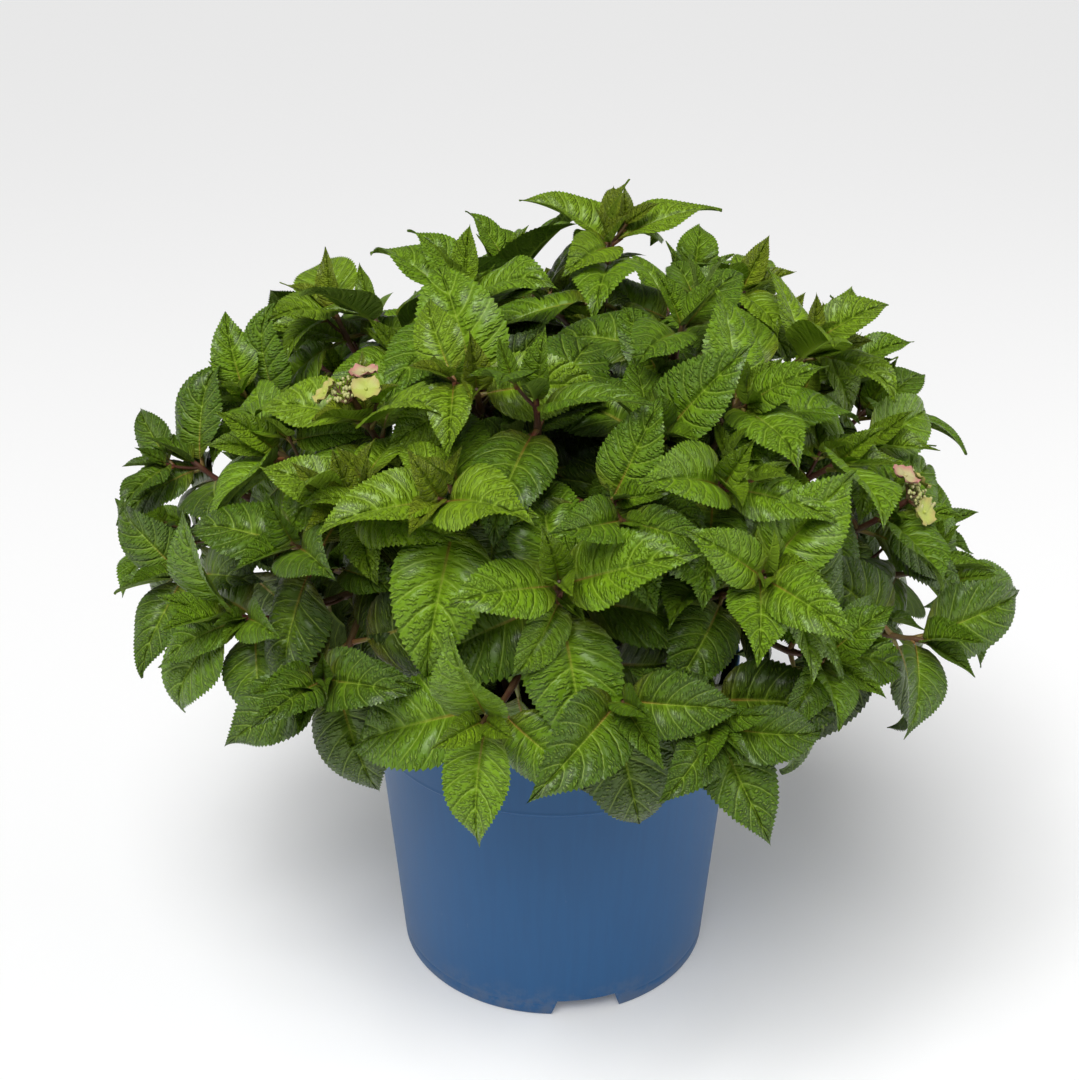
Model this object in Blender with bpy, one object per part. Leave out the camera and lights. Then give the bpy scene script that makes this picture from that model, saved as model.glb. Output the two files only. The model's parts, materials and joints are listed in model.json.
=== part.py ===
"""A bushy lacecap hydrangea in a round nursery pot.

Canes rise from the root ball and fan out over the rim. Each cane carries one mass of foliage: a leader and
two side shoots that fork from it, with opposite pairs of leaves, each pair turned a quarter turn from the last.

Metres, +Z up. The origin is the middle of the pot's flat underside. -Y is the front, +X the right-hand side.
Azimuths are in degrees, 0 at the front and 90 at the right.
"""

import math
import random

import bmesh
import bpy
from mathutils import Matrix, Vector
from mathutils.bvhtree import BVHTree

UP = Vector((0, 0, 1))
GAP = 0.0003  # clearance between neighbouring solids
SEED = 7

# Pot
POT_HEIGHT = 0.209
BASE_RADIUS = 0.0995
SHOULDER_RADIUS = 0.112
SHOULDER_HEIGHT = 0.158
COLLAR_STEP = 0.0012  # the collar stands this far proud of the body
RIM_RADIUS = 0.1145
WALL = 0.0018
FLOOR_THICKNESS = 0.0145
POT_SIDES = 48
NOTCHES = 3
NOTCH_WIDTH = 0.040
NOTCH_HEIGHT = 0.0115
NOTCH_DEPTH = 0.034
FIRST_NOTCH = 11.5  # azimuth
DRAIN_RADIUS = 0.0055

# Root ball
SOIL_HEIGHT = 0.190
SOIL_DOME = 0.004  # how much higher it stands in the middle

# Crown: the shoots' tips lie on a dome, and leaves reach a little further, out to a limit
DOME_CENTRE = Vector((0, 0, 0.25))
DOME_RADII = Vector((0.225, 0.217, 0.199))
LIMIT_CENTRE = Vector((0.0065, 0, 0.256))
LIMIT_RADII = Vector((0.284, 0.270, 0.242))
LOWEST_LEAF = 0.128
CROWN_FOOT = Vector((0, 0, 0.218))
MASS_REACH = 0.165  # how far a mass's leaves may stray from the middle of its leader
CANE_SHARE = 0.58  # of the way from the crown's foot to the leader's tip that is bare cane

# Boughs: azimuth and elevation of the leader's tip on the dome, and its reach as a share of the dome
BOUGHS = {
    "low_1": (0, 29, 1.00),
    "low_2": (31, 27, 1.00),
    "low_3": (68, 26, 1.03),
    "low_4": (106, 28, 1.01),
    "low_5": (146, 26, 0.98),
    "low_6": (-174, 28, 1.00),
    "low_7": (-130, 27, 0.99),
    "low_8": (-86, 25, 1.04),
    "low_9": (-43, 28, 1.00),
    "middle_1": (-5, 56, 1.00),
    "middle_2": (44, 52, 0.99),
    "middle_3": (92, 49, 1.00),
    "middle_4": (142, 51, 0.98),
    "middle_5": (-166, 53, 0.98),
    "middle_6": (-108, 53, 1.03),
    "middle_7": (-50, 51, 0.99),
    "top_1": (-62, 75, 1.00),
    "top_2": (156, 70, 1.07),
    "top_3": (50, 67, 1.00),
}
FORKS = {"low": (9, -18), "middle": (9, -14), "top": (11, -16)}  # side shoots' turn and drop from their leader
CANE_RING = {"low": 0.038, "middle": 0.023, "top": 0.009}  # how far out the canes stand on the root ball
LEAF_PAIRS = {"low": 5, "middle": 4, "top": 4}
FLOWERING = {"middle_7": 0, "low_3": 0}  # which of a mass's shoots ends in a flower head

# Limb thickness, as radii
CANE_BASE, CANE_TIP, CANE_FLARE = 0.0040, 0.0024, 1.45
LEADER_BASE, SIDE_BASE, SHOOT_TIP = 0.0025, 0.0022, 0.0015
CANE_SIDES, CANE_BENDS = 5, 5
SHOOT_SIDES, SHOOT_BENDS = 3, 3

# Leaf pairs from the tip down: distance from the tip, blade length, angle from the shoot, recurve in degrees
PAIRS = (
    (0.002, 0.040, 20, 12),
    (0.006, 0.071, 50, 26),
    (0.019, 0.088, 70, 34),
    (0.041, 0.092, 86, 40),
    (0.070, 0.088, 100, 44),
)
LEAF_ASPECT = 0.59  # width of a grown blade over its length
YOUNG_ASPECT = 0.44
LEAF_KEEL = 0.0020  # thickness over the midrib
LEAF_STATIONS = (0.30, 0.96), (0.66, 0.72)  # places along the blade and their share of its full width
ROOT_DEPTH = 0.4  # of the shoot's radius: how far past its middle a leaf's root is sunk
BARE_ROOT = 0.10  # of the blade next to the shoot may touch other roots
CLEARANCE = 0.0005
GRAVITY = 0.20  # how far a grown leaf's own weight pulls it down
LIGHT = Vector((0, -0.5, 0.87))  # leaves turn their faces between their shoot's tip and this way
RETRIES = (  # changes of angle, roll and size that a leaf tries in turn
    (0, 0, 1),
    (14, 0, 1),
    (-14, 8, 1),
    (0, -16, 0.93),
    (24, 10, 0.93),
    (-22, -10, 0.88),
    (30, 20, 0.84),
    (8, -26, 0.80),
)

# Flower heads
PEDUNCLE = 0.014  # bare stalk under a head
HEAD_RADIUS = 0.013
HEAD_DEPTH = 0.010
SEPAL_TURNS = (20, 95, 215)
SEPAL_RADIUS = 0.0085
SEPAL_THICKNESS = 0.0012
SEPAL_TILT = 24

COLOURS = {
    "pot": ((0.055, 0.15, 0.29), 0.45),
    "soil": ((0.030, 0.018, 0.011), 0.95),
    "bark": ((0.16, 0.050, 0.026), 0.65),
    "foliage": ((0.075, 0.20, 0.020), 0.42),
}


def heading(azimuth, elevation):
    """The unit vector at an azimuth and an elevation."""
    a, e = math.radians(azimuth), math.radians(elevation)
    return Vector((math.sin(a) * math.cos(e), -math.cos(a) * math.cos(e), math.sin(e)))


def dome_point(azimuth, elevation, reach):
    out = heading(azimuth, elevation) * reach
    return DOME_CENTRE + Vector(o * r for o, r in zip(out, DOME_RADII))


def square_to(vector, axis):
    """The part of a vector that is square to an axis, made a unit vector."""
    return (vector - axis * vector.dot(axis)).normalized()


def hermite(start, start_pull, end, end_pull, count):
    """Points on a smooth curve that leaves start along one vector and arrives at end along another."""
    points = []
    for i in range(count + 1):
        t = i / count
        near = start * (2 * t**3 - 3 * t**2 + 1) + start_pull * (t**3 - 2 * t**2 + t)
        points.append(near + end * (3 * t**2 - 2 * t**3) + end_pull * (t**3 - t**2))
    return points


def tapered(count, base, tip):
    return [base + (tip - base) * i / count for i in range(count + 1)]


class Limb:
    """A cane or a shoot: a path of points with a radius at each, cut square to a direction at its foot."""

    def __init__(self, path, radii, foot_axis):
        self.path, self.radii, self.foot_axis = path, radii, foot_axis.normalized()
        self.axis = (path[-1] - path[-2]).normalized()
        self.length = sum((b - a).length for a, b in zip(path, path[1:]))

    def from_tip(self, distance):
        """(point, direction, radius) on the path, a distance back from its tip."""
        for i in range(len(self.path) - 1, 0, -1):
            far, near = self.path[i - 1], self.path[i]
            step = (near - far).length
            if distance <= step:
                share = distance / step
                radius = self.radii[i] + (self.radii[i - 1] - self.radii[i]) * share
                return near.lerp(far, share), (near - far).normalized(), radius
            distance -= step
        return self.path[0].copy(), (self.path[1] - self.path[0]).normalized(), self.radii[0]


class Leaf:
    """One blade: where it leaves the shoot, which way it runs and faces, and how it bends back."""

    def __init__(self, root, root_depth, along, face, length, width, recurve):
        self.root, self.root_depth = root, root_depth
        self.along, self.face = along, square_to(face, along)
        self.length, self.width, self.recurve = length, width, math.radians(recurve)
        self.side = self.along.cross(self.face).normalized()

    def midrib(self, share):
        """(point, facing) at a share of the length, on an arc that bends away from the leaf's upper side."""
        turn = max(self.recurve, 1e-4)
        out, back = math.sin(turn * share) / turn, (1 - math.cos(turn * share)) / turn
        point = self.root + self.length * (self.along * out - self.face * back)
        return point, self.face * math.cos(turn * share) + self.along * math.sin(turn * share)


def leaf_on(shoot, pair, side, roll, change, nature, bare):
    """The leaf on one side of a pair. change and nature vary its angle, roll and size; bare is stalk above it."""
    distance, length, angle, recurve = PAIRS[pair]
    tilt, turn, scale = change
    size, twist, droop = nature
    root, axis, radius = shoot.from_tip(distance + bare)
    across = square_to(UP if abs(axis.z) < 0.9 else Vector((0, -1, 0)), axis)
    out = Matrix.Rotation(math.radians(roll + turn + 90 * pair + 180 * side), 3, axis) @ across
    swing = math.radians(angle + tilt)
    along = axis * math.cos(swing) + out * math.sin(swing) - UP * GRAVITY * min(pair, 2) / 2
    along.normalize()
    face = Matrix.Rotation(math.radians(twist), 3, along) @ square_to(axis + LIGHT, along)
    grown = length * scale * size
    aspect = LEAF_ASPECT if pair else YOUNG_ASPECT
    return Leaf(root, radius * ROOT_DEPTH, along, face, grown, grown * aspect, recurve + droop)


def leaf_solid(leaf, start=0.0, swell=0.0):
    """(points, triangles) of the blade from a share of its length on, as a keeled solid that may be swollen."""
    points = [leaf.midrib(start)[0] if start else leaf.root - leaf.along * leaf.root_depth]
    for share, width in LEAF_STATIONS:
        point, facing = leaf.midrib(share)
        rise = facing * (LEAF_KEEL / 2 + swell)
        reach = leaf.side * (leaf.width / 2 * width + swell)
        points += [point - rise, point + rise + reach, point + rise - reach]
    tip = len(points)
    points.append(leaf.midrib(1)[0])
    faces = []
    for a, b in ((0, 1), (1, 2), (2, 0)):
        faces += [(0, 1 + a, 1 + b), (1 + a, 4 + a, 4 + b), (1 + a, 4 + b, 1 + b), (4 + a, tip, 4 + b)]
    return points, faces


def limb_solid(limb, sides):
    """(points, triangles) of a limb with flat ends."""
    points = []
    for i, (point, radius) in enumerate(zip(limb.path, limb.radii)):
        before, after = limb.path[max(i - 1, 0)], limb.path[min(i + 1, len(limb.path) - 1)]
        axis = (after - before).normalized() if i else limb.foot_axis
        across = square_to(Vector((0.31, 0.17, 0.93)), axis) * radius
        points += [point + Matrix.Rotation(math.tau * k / sides, 3, axis) @ across for k in range(sides)]
    last = len(points) - sides
    faces = [(0, k + 1, k) for k in range(1, sides - 1)]
    faces += [(last, last + k, last + k + 1) for k in range(1, sides - 1)]
    for ring in range(0, last, sides):
        for k in range(sides):
            a, b = ring + k, ring + (k + 1) % sides
            faces += [(a, b, b + sides), (a, b + sides, a + sides)]
    return points, faces


def soil_surface(radius):
    """The root ball's height at a distance from the middle: it rises to a blunt point."""
    return SOIL_HEIGHT + SOIL_DOME * (1 - radius / RIM_RADIUS)


def grow_cane(name):
    """The bare cane of a bough, from its flared foot on the root ball to where it enters its mass."""
    azimuth, elevation, reach = BOUGHS[name]
    ring = CANE_RING[name.split("_")[0]]
    foot = heading(azimuth, 0) * ring
    foot.z = soil_surface(ring - CANE_BASE * CANE_FLARE) + GAP
    end = CROWN_FOOT.lerp(dome_point(azimuth, elevation, reach), CANE_SHARE)
    span = (end - foot).length
    path = hermite(foot, UP * span * 1.1, end, heading(azimuth, elevation * 0.75) * span, CANE_BENDS)
    radii = tapered(CANE_BENDS, CANE_BASE, CANE_TIP)
    radii[0] *= CANE_FLARE
    return Limb(path, radii, UP)


def tip_lean(elevation):
    """The elevation that a shoot's tip has turned up to, from its place on the dome."""
    return min(30 + 0.75 * elevation, 88)


def grow_shoots(name, cane, rng):
    """A mass's leader, from just clear of the cane's tip, and its two side shoots."""
    azimuth, elevation, reach = BOUGHS[name]
    turn, drop = FORKS[name.split("_")[0]]
    start = cane.path[-1] + cane.axis * GAP * 2
    tip = dome_point(azimuth, elevation, reach)
    span = (tip - start).length
    path = hermite(start, cane.axis * span, tip, heading(azimuth, tip_lean(elevation)) * span, SHOOT_BENDS)
    leader = Limb(path, tapered(SHOOT_BENDS, LEADER_BASE, SHOOT_TIP), cane.axis)
    shoots = [leader]
    for way, share in ((-1, 0.10), (1, 0.22)):
        fork, axis, _ = leader.from_tip(leader.length * (1 - share))
        swung = azimuth + way * (turn / math.cos(math.radians(elevation)) + rng.uniform(-2, 2))
        low = elevation + drop + rng.uniform(-3, 3)
        tip = dome_point(swung, low, reach * rng.uniform(0.95, 1.02))
        span = (tip - fork).length
        start_pull = (axis + (tip - fork).normalized()) * span * 0.6
        path = hermite(fork, start_pull, tip, heading(swung, tip_lean(low)) * span, SHOOT_BENDS)
        shoots.append(Limb(path, tapered(SHOOT_BENDS, SIDE_BASE, SHOOT_TIP), start_pull))
    return shoots


def tree_of(solids):
    """A search tree over several (points, triangles)."""
    points, faces = [], []
    for more_points, more_faces in solids:
        faces += [tuple(i + len(points) for i in face) for face in more_faces]
        points += more_points
    return BVHTree.FromPolygons(points, faces)


class Mass:
    """The foliage on one cane: its shoots, its flower head if it has one, and the leaves that found room."""

    def __init__(self, name, rng):
        self.name, self.ring, self.cane = name, name.split("_")[0], grow_cane(name)
        self.shoots = grow_shoots(name, self.cane, rng)
        self.rolls = [rng.uniform(0, 180) for _ in self.shoots]
        self.middle = self.shoots[0].from_tip(self.shoots[0].length * 0.35)[0]
        self.leaves = []
        self.solids = [limb_solid(shoot, SHOOT_SIDES) for shoot in self.shoots]
        if name in FLOWERING:
            self.solids += flower_solids(self.shoots[FLOWERING[name]])
        self.tree = tree_of(self.solids)

    def add(self, leaf):
        self.leaves.append(leaf)
        self.solids.append(leaf_solid(leaf))
        self.tree = tree_of(self.solids)

    def holds(self, leaf):
        """True if the blade stays in the crown and in the mass's own space."""
        for share in (0.6, 1.0):
            point = leaf.midrib(share)[0]
            away = Vector((p - c) / r for p, c, r in zip(point, LIMIT_CENTRE, LIMIT_RADII))
            if away.length > 1 or point.z < LOWEST_LEAF or (point - self.middle).length > MASS_REACH:
                return False
        return True


def has_room(leaf, mass, masses, fixed):
    """True if the whole blade clears every other mass and fixed thing, and all but its root clears its own mass."""
    whole = tree_of([leaf_solid(leaf, swell=CLEARANCE)])
    outer = tree_of([leaf_solid(leaf, BARE_ROOT, CLEARANCE)])
    if outer.overlap(mass.tree) or any(whole.overlap(tree) for tree in fixed):
        return False
    return not any(whole.overlap(other.tree) for other in masses if other is not mass)


def grow_leaves(masses, fixed, rng):
    """Places the leaves of every shoot, youngest pairs first, each turned or shrunk until it has room."""
    for pair in range(len(PAIRS)):
        for mass in masses:
            for number, shoot in enumerate(mass.shoots):
                flowering = FLOWERING.get(mass.name) == number
                bare = PEDUNCLE if flowering else 0
                if pair >= LEAF_PAIRS[mass.ring] or PAIRS[pair][0] + bare > shoot.length * 0.96:
                    continue
                for side in (0, 1):
                    nature = rng.uniform(0.86, 1.08), rng.uniform(-12, 12), rng.uniform(-10, 12)
                    for change in RETRIES:
                        leaf = leaf_on(shoot, pair, side, mass.rolls[number], change, nature, bare)
                        if mass.holds(leaf) and has_room(leaf, mass, masses, fixed):
                            mass.add(leaf)
                            break


def as_solid(made):
    """(points, triangles) of a bmesh, which is then freed."""
    bmesh.ops.triangulate(made, faces=made.faces)
    made.verts.index_update()
    solid = [v.co.copy() for v in made.verts], [tuple(v.index for v in face.verts) for face in made.faces]
    made.free()
    return solid


def flower_solids(shoot):
    """A lacecap head on a shoot's tip: a flat-topped cluster of buds, with open florets at its edge."""
    stand = shoot.axis.to_track_quat("Z", "Y").to_matrix().to_4x4()
    stand.translation = shoot.path[-1] + shoot.axis * HEAD_DEPTH * 0.3
    head = bmesh.new()
    bmesh.ops.create_cone(
        head, cap_ends=True, segments=8, radius1=HEAD_RADIUS * 0.15, radius2=HEAD_RADIUS, depth=HEAD_DEPTH
    )
    bmesh.ops.transform(head, matrix=stand, verts=head.verts)
    solids = [as_solid(head)]
    for turn in SEPAL_TURNS:
        sepal = bmesh.new()
        bmesh.ops.create_cone(
            sepal, cap_ends=True, segments=6, radius1=SEPAL_RADIUS, radius2=SEPAL_RADIUS, depth=SEPAL_THICKNESS
        )
        out = Matrix.Translation((HEAD_RADIUS, 0, HEAD_DEPTH * 0.4))
        tilt = Matrix.Rotation(math.radians(SEPAL_TILT), 4, "Y")
        place = Matrix.Rotation(math.radians(turn), 4, "Z") @ out @ tilt
        bmesh.ops.transform(sepal, matrix=stand @ place, verts=sepal.verts)
        solids.append(as_solid(sepal))
    return solids


def material(name):
    colour, roughness = COLOURS[name]
    made = bpy.data.materials.new(name)
    made.use_nodes = True
    shader = made.node_tree.nodes["Principled BSDF"]
    shader.inputs["Base Color"].default_value = (*colour, 1)
    shader.inputs["Roughness"].default_value = roughness
    return made


def bmesh_object(name, made, finish=None):
    """An object of a bmesh, which is then freed."""
    bmesh.ops.recalc_face_normals(made, faces=made.faces)
    mesh = bpy.data.meshes.new(name)
    made.to_mesh(mesh)
    made.free()
    if finish:
        mesh.materials.append(finish)
    built = bpy.data.objects.new(name, mesh)
    bpy.context.scene.collection.objects.link(built)
    return built


def solid_object(name, solid, finish):
    points, faces = solid
    made = bmesh.new()
    corners = [made.verts.new(point) for point in points]
    for face in faces:
        made.faces.new([corners[i] for i in face])
    return bmesh_object(name, made, finish)


def turned_object(name, profile, finish):
    """A closed solid of revolution about Z from (radius, height) points that start and end on the axis."""
    made = bmesh.new()
    corners = [made.verts.new((r, 0, z)) for r, z in profile]
    edges = [made.edges.new(ends) for ends in zip(corners, corners[1:])]
    bmesh.ops.spin(
        made, geom=corners + edges, cent=(0, 0, 0), axis=UP, angle=math.tau, steps=POT_SIDES, use_merge=True
    )
    bmesh.ops.remove_doubles(made, verts=made.verts, dist=1e-5)
    turned = bmesh_object(name, made, finish)
    turned.data.shade_smooth()
    turned.data.set_sharp_from_angle(angle=math.radians(30))
    return turned


def apply_boolean(solid, operation, others):
    """Joins the others to a solid, or takes them out of it, for good. The others are then removed."""
    group = bpy.data.collections.new("tools")
    bpy.context.scene.collection.children.link(group)
    for other in others:
        group.objects.link(other)
        bpy.context.scene.collection.objects.unlink(other)
    boolean = solid.modifiers.new("shape", "BOOLEAN")
    boolean.operation, boolean.operand_type, boolean.collection = operation, "COLLECTION", group
    bpy.context.view_layer.objects.active = solid
    bpy.ops.object.modifier_apply(modifier=boolean.name)
    for other in others:
        bpy.data.objects.remove(other)
    bpy.data.collections.remove(group)


def keep_largest(body):
    """Drops the scraps that aren't joined to the main body of a mesh."""
    made = bmesh.new()
    made.from_mesh(body.data)
    left, parts = set(made.verts), []
    while left:
        part, edge = set(), [left.pop()]
        while edge:
            vertex = edge.pop()
            part.add(vertex)
            near = {e.other_vert(vertex) for e in vertex.link_edges} & left
            left -= near
            edge += near
        parts.append(part)
    parts.sort(key=len)
    scraps = [vertex for part in parts[:-1] for vertex in part]
    bmesh.ops.delete(made, geom=scraps, context="VERTS")
    made.to_mesh(body.data)
    made.free()


def body_radius(height):
    """The pot body's outer radius at a height below the shoulder."""
    return BASE_RADIUS + (SHOULDER_RADIUS - BASE_RADIUS) * height / SHOULDER_HEIGHT


def collar_radius(height):
    """The collar's outer radius at a height above the shoulder."""
    share = (height - SHOULDER_HEIGHT) / (POT_HEIGHT - SHOULDER_HEIGHT)
    return SHOULDER_RADIUS + COLLAR_STEP + (RIM_RADIUS - SHOULDER_RADIUS - COLLAR_STEP) * share


def notch_cutter(azimuth):
    """A block that cuts a notch up into the pot's foot from just below the ground."""
    below, beyond = 0.002, 0.005
    height, depth = NOTCH_HEIGHT + below, NOTCH_DEPTH + beyond
    made = bmesh.new()
    bmesh.ops.create_cube(made, size=1)
    bmesh.ops.scale(made, verts=made.verts, vec=(NOTCH_WIDTH, depth, height))
    bmesh.ops.translate(made, verts=made.verts, vec=(0, depth / 2 - beyond - BASE_RADIUS, height / 2 - below))
    bmesh.ops.rotate(made, verts=made.verts, matrix=Matrix.Rotation(math.radians(azimuth), 3, "Z"))
    return bmesh_object("notch", made)


def drain_cutter(azimuth):
    """A round drain up through the floor over a notch."""
    made = bmesh.new()
    bmesh.ops.create_cone(
        made, cap_ends=True, segments=10, radius1=DRAIN_RADIUS, radius2=DRAIN_RADIUS, depth=4 * FLOOR_THICKNESS
    )
    bmesh.ops.translate(made, verts=made.verts, vec=heading(azimuth, 0) * (BASE_RADIUS - NOTCH_DEPTH * 0.6))
    return bmesh_object("drain", made)


def make_pot():
    """The pot: a tapering body, a collar that stands a little proud, and notches under the floor that drain it."""
    profile = [
        (0, 0),
        (BASE_RADIUS, 0),
        (SHOULDER_RADIUS, SHOULDER_HEIGHT),
        (SHOULDER_RADIUS + COLLAR_STEP, SHOULDER_HEIGHT + COLLAR_STEP),
        (RIM_RADIUS, POT_HEIGHT),
        (RIM_RADIUS - WALL, POT_HEIGHT),
        (SHOULDER_RADIUS + COLLAR_STEP - WALL, SHOULDER_HEIGHT + COLLAR_STEP + WALL),
        (SHOULDER_RADIUS - WALL, SHOULDER_HEIGHT),
        (body_radius(FLOOR_THICKNESS) - WALL, FLOOR_THICKNESS),
        (0, FLOOR_THICKNESS),
    ]
    pot = turned_object("pot", profile, material("pot"))
    azimuths = [FIRST_NOTCH + 360 * i / NOTCHES for i in range(NOTCHES)]
    apply_boolean(pot, "DIFFERENCE", [cutter(a) for a in azimuths for cutter in (notch_cutter, drain_cutter)])


def make_soil():
    """The root ball, which fills the pot to a little below the rim."""
    inset = WALL + 2 * GAP
    profile = [
        (0, FLOOR_THICKNESS + GAP),
        (body_radius(FLOOR_THICKNESS) - inset, FLOOR_THICKNESS + GAP),
        (SHOULDER_RADIUS - inset, SHOULDER_HEIGHT),
        (collar_radius(SOIL_HEIGHT) - inset, SOIL_HEIGHT),
        (0, SOIL_HEIGHT + SOIL_DOME),
    ]
    turned_object("soil", profile, material("soil"))


def pot_skin():
    """(points, triangles) of a surface just off the pot's outside, rim and soil, that leaves keep clear of."""
    collar, mouth = RIM_RADIUS + GAP, RIM_RADIUS - WALL - GAP
    profile = [
        (body_radius(LOWEST_LEAF) + GAP, LOWEST_LEAF),
        (SHOULDER_RADIUS + COLLAR_STEP + GAP, SHOULDER_HEIGHT),
        (collar, POT_HEIGHT + GAP),
        (mouth, POT_HEIGHT + GAP),
        (mouth, SOIL_HEIGHT + GAP),
        (GAP, SOIL_HEIGHT + SOIL_DOME + GAP),
    ]
    rows = len(profile)
    turns = [Matrix.Rotation(math.tau * i / POT_SIDES, 3, "Z") for i in range(POT_SIDES)]
    points = [turn @ Vector((r, 0, z)) for turn in turns for r, z in profile]
    faces = []
    for i in range(POT_SIDES):
        for k in range(rows - 1):
            a, b = i * rows + k, (i + 1) % POT_SIDES * rows + k
            faces += [(a, b, b + 1), (a, b + 1, a + 1)]
    return points, faces


def make_mass(mass, finish):
    """Joins a mass's shoots, leaves and flower head into one solid."""
    leader, *others = mass.solids
    body = solid_object(f"foliage_{mass.name}", leader, finish)
    apply_boolean(body, "UNION", [solid_object("piece", other, finish) for other in others])
    keep_largest(body)


def main():
    for old in list(bpy.data.objects):
        bpy.data.objects.remove(old)
    make_pot()
    make_soil()
    rng = random.Random(SEED)
    masses = [Mass(name, rng) for name in BOUGHS]
    canes = {mass.name: limb_solid(mass.cane, CANE_SIDES) for mass in masses}
    grow_leaves(masses, [tree_of(canes.values()), tree_of([pot_skin()])], rng)
    bark, foliage = material("bark"), material("foliage")
    for mass in masses:
        solid_object(f"cane_{mass.name}", canes[mass.name], bark)
        make_mass(mass, foliage)


main()
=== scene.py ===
"""Dresses the solids of a potted hydrangea with its leaves, twigs, bark, flower heads, root ball and pot.

The plant grows again here by the rule of its solids, from the same seed, and is carried on to finer leaves.
Metres, +Z up. The origin is the middle of the pot's flat underside. -Y is the front, +X the right-hand side.
Azimuths are in degrees, 0 at the front and 90 at the right.
"""

import functools
import json
import math
import random

import bmesh
import bpy
import numpy as np
from bpy.props import FloatProperty, FloatVectorProperty, IntProperty, PointerProperty
from mathutils import Matrix, Vector, noise
from mathutils.bvhtree import BVHTree

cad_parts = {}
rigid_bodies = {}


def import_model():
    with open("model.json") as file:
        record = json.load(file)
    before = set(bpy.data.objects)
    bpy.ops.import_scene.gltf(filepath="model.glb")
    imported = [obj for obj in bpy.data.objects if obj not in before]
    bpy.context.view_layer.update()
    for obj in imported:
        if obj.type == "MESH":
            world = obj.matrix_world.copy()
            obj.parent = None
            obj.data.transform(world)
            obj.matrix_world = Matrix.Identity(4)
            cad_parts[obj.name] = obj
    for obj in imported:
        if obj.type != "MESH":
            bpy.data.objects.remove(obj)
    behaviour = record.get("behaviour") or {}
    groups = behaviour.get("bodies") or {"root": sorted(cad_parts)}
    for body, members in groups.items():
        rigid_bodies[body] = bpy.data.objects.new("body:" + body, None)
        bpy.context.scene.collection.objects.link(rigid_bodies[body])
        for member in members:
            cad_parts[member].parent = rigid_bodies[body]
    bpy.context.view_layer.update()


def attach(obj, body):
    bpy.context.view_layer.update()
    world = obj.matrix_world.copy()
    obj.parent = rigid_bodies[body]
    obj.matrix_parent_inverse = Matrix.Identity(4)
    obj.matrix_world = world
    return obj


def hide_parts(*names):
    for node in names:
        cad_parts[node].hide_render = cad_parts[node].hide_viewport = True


bl_info = {
    "name": "Potted Hydrangea",
    "version": (1, 0, 0),
    "blender": (4, 5, 0),
    "location": "3D View > Sidebar > Hydrangea",
    "description": "Builds a potted hydrangea: leaves, twigs, canes, flower heads, root ball and pot",
    "category": "Add Mesh",
}

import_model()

UP = Vector((0, 0, 1))
GAP = 0.0003
SEED = 7

# Pot
POT_HEIGHT = 0.209
BASE_RADIUS = 0.0995
SHOULDER_RADIUS = 0.112
SHOULDER_HEIGHT = 0.158
COLLAR_STEP = 0.0012
RIM_RADIUS = 0.1145
WALL = 0.0018
FLOOR_THICKNESS = 0.0145
POT_SIDES = 48
NOTCHES = 3
NOTCH_WIDTH = 0.040
NOTCH_HEIGHT = 0.0115
NOTCH_DEPTH = 0.034
FIRST_NOTCH = 11.5
NOTCH_SPREAD = 0.0055  # how much wider a notch is at its foot
NOTCH_TAPER = 0.80  # its width at its top over that at its foot
DRAIN_RADIUS = 0.0055

# Root ball
SOIL_HEIGHT = 0.190
SOIL_DOME = 0.004

# Crown
DOME_CENTRE = Vector((0, 0, 0.25))
DOME_RADII = Vector((0.225, 0.217, 0.199))
LIMIT_CENTRE = Vector((0.0065, 0, 0.256))
LIMIT_RADII = Vector((0.284, 0.270, 0.242))
LOWEST_LEAF = 0.128
CROWN_FOOT = Vector((0, 0, 0.218))  # where the lines of all the boughs meet
MASS_REACH = 0.165  # of a leaf from the middle of its mass
CANE_SHARE = 0.58  # of the way from the crown's foot to the dome that is bare cane

# Boughs: azimuth and elevation of the leader's tip on the dome, and its reach as a share of the dome
BOUGHS = {
    "low_1": (0, 29, 1.00),
    "low_2": (31, 27, 1.00),
    "low_3": (68, 26, 1.03),
    "low_4": (106, 28, 1.01),
    "low_5": (146, 26, 0.98),
    "low_6": (-174, 28, 1.00),
    "low_7": (-130, 27, 0.99),
    "low_8": (-86, 25, 1.04),
    "low_9": (-43, 28, 1.00),
    "middle_1": (-5, 56, 1.00),
    "middle_2": (44, 52, 0.99),
    "middle_3": (92, 49, 1.00),
    "middle_4": (142, 51, 0.98),
    "middle_5": (-166, 53, 0.98),
    "middle_6": (-108, 53, 1.03),
    "middle_7": (-50, 51, 0.99),
    "top_1": (-62, 75, 1.00),
    "top_2": (156, 70, 1.07),
    "top_3": (50, 67, 1.00),
}
FORKS = {"low": (9, -18), "middle": (9, -14), "top": (11, -16)}
CANE_RING = {"low": 0.038, "middle": 0.023, "top": 0.009}
LEAF_PAIRS = {"low": 5, "middle": 4, "top": 4}
FLOWERING = {"middle_7": 0, "low_3": 0}

# Limb thickness, as radii
CANE_BASE, CANE_TIP, CANE_FLARE = 0.0040, 0.0024, 1.45
LEADER_BASE, SIDE_BASE, SHOOT_TIP = 0.0025, 0.0022, 0.0015
CANE_SIDES, CANE_BENDS = 5, 5
SHOOT_SIDES, SHOOT_BENDS = 3, 3

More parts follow.
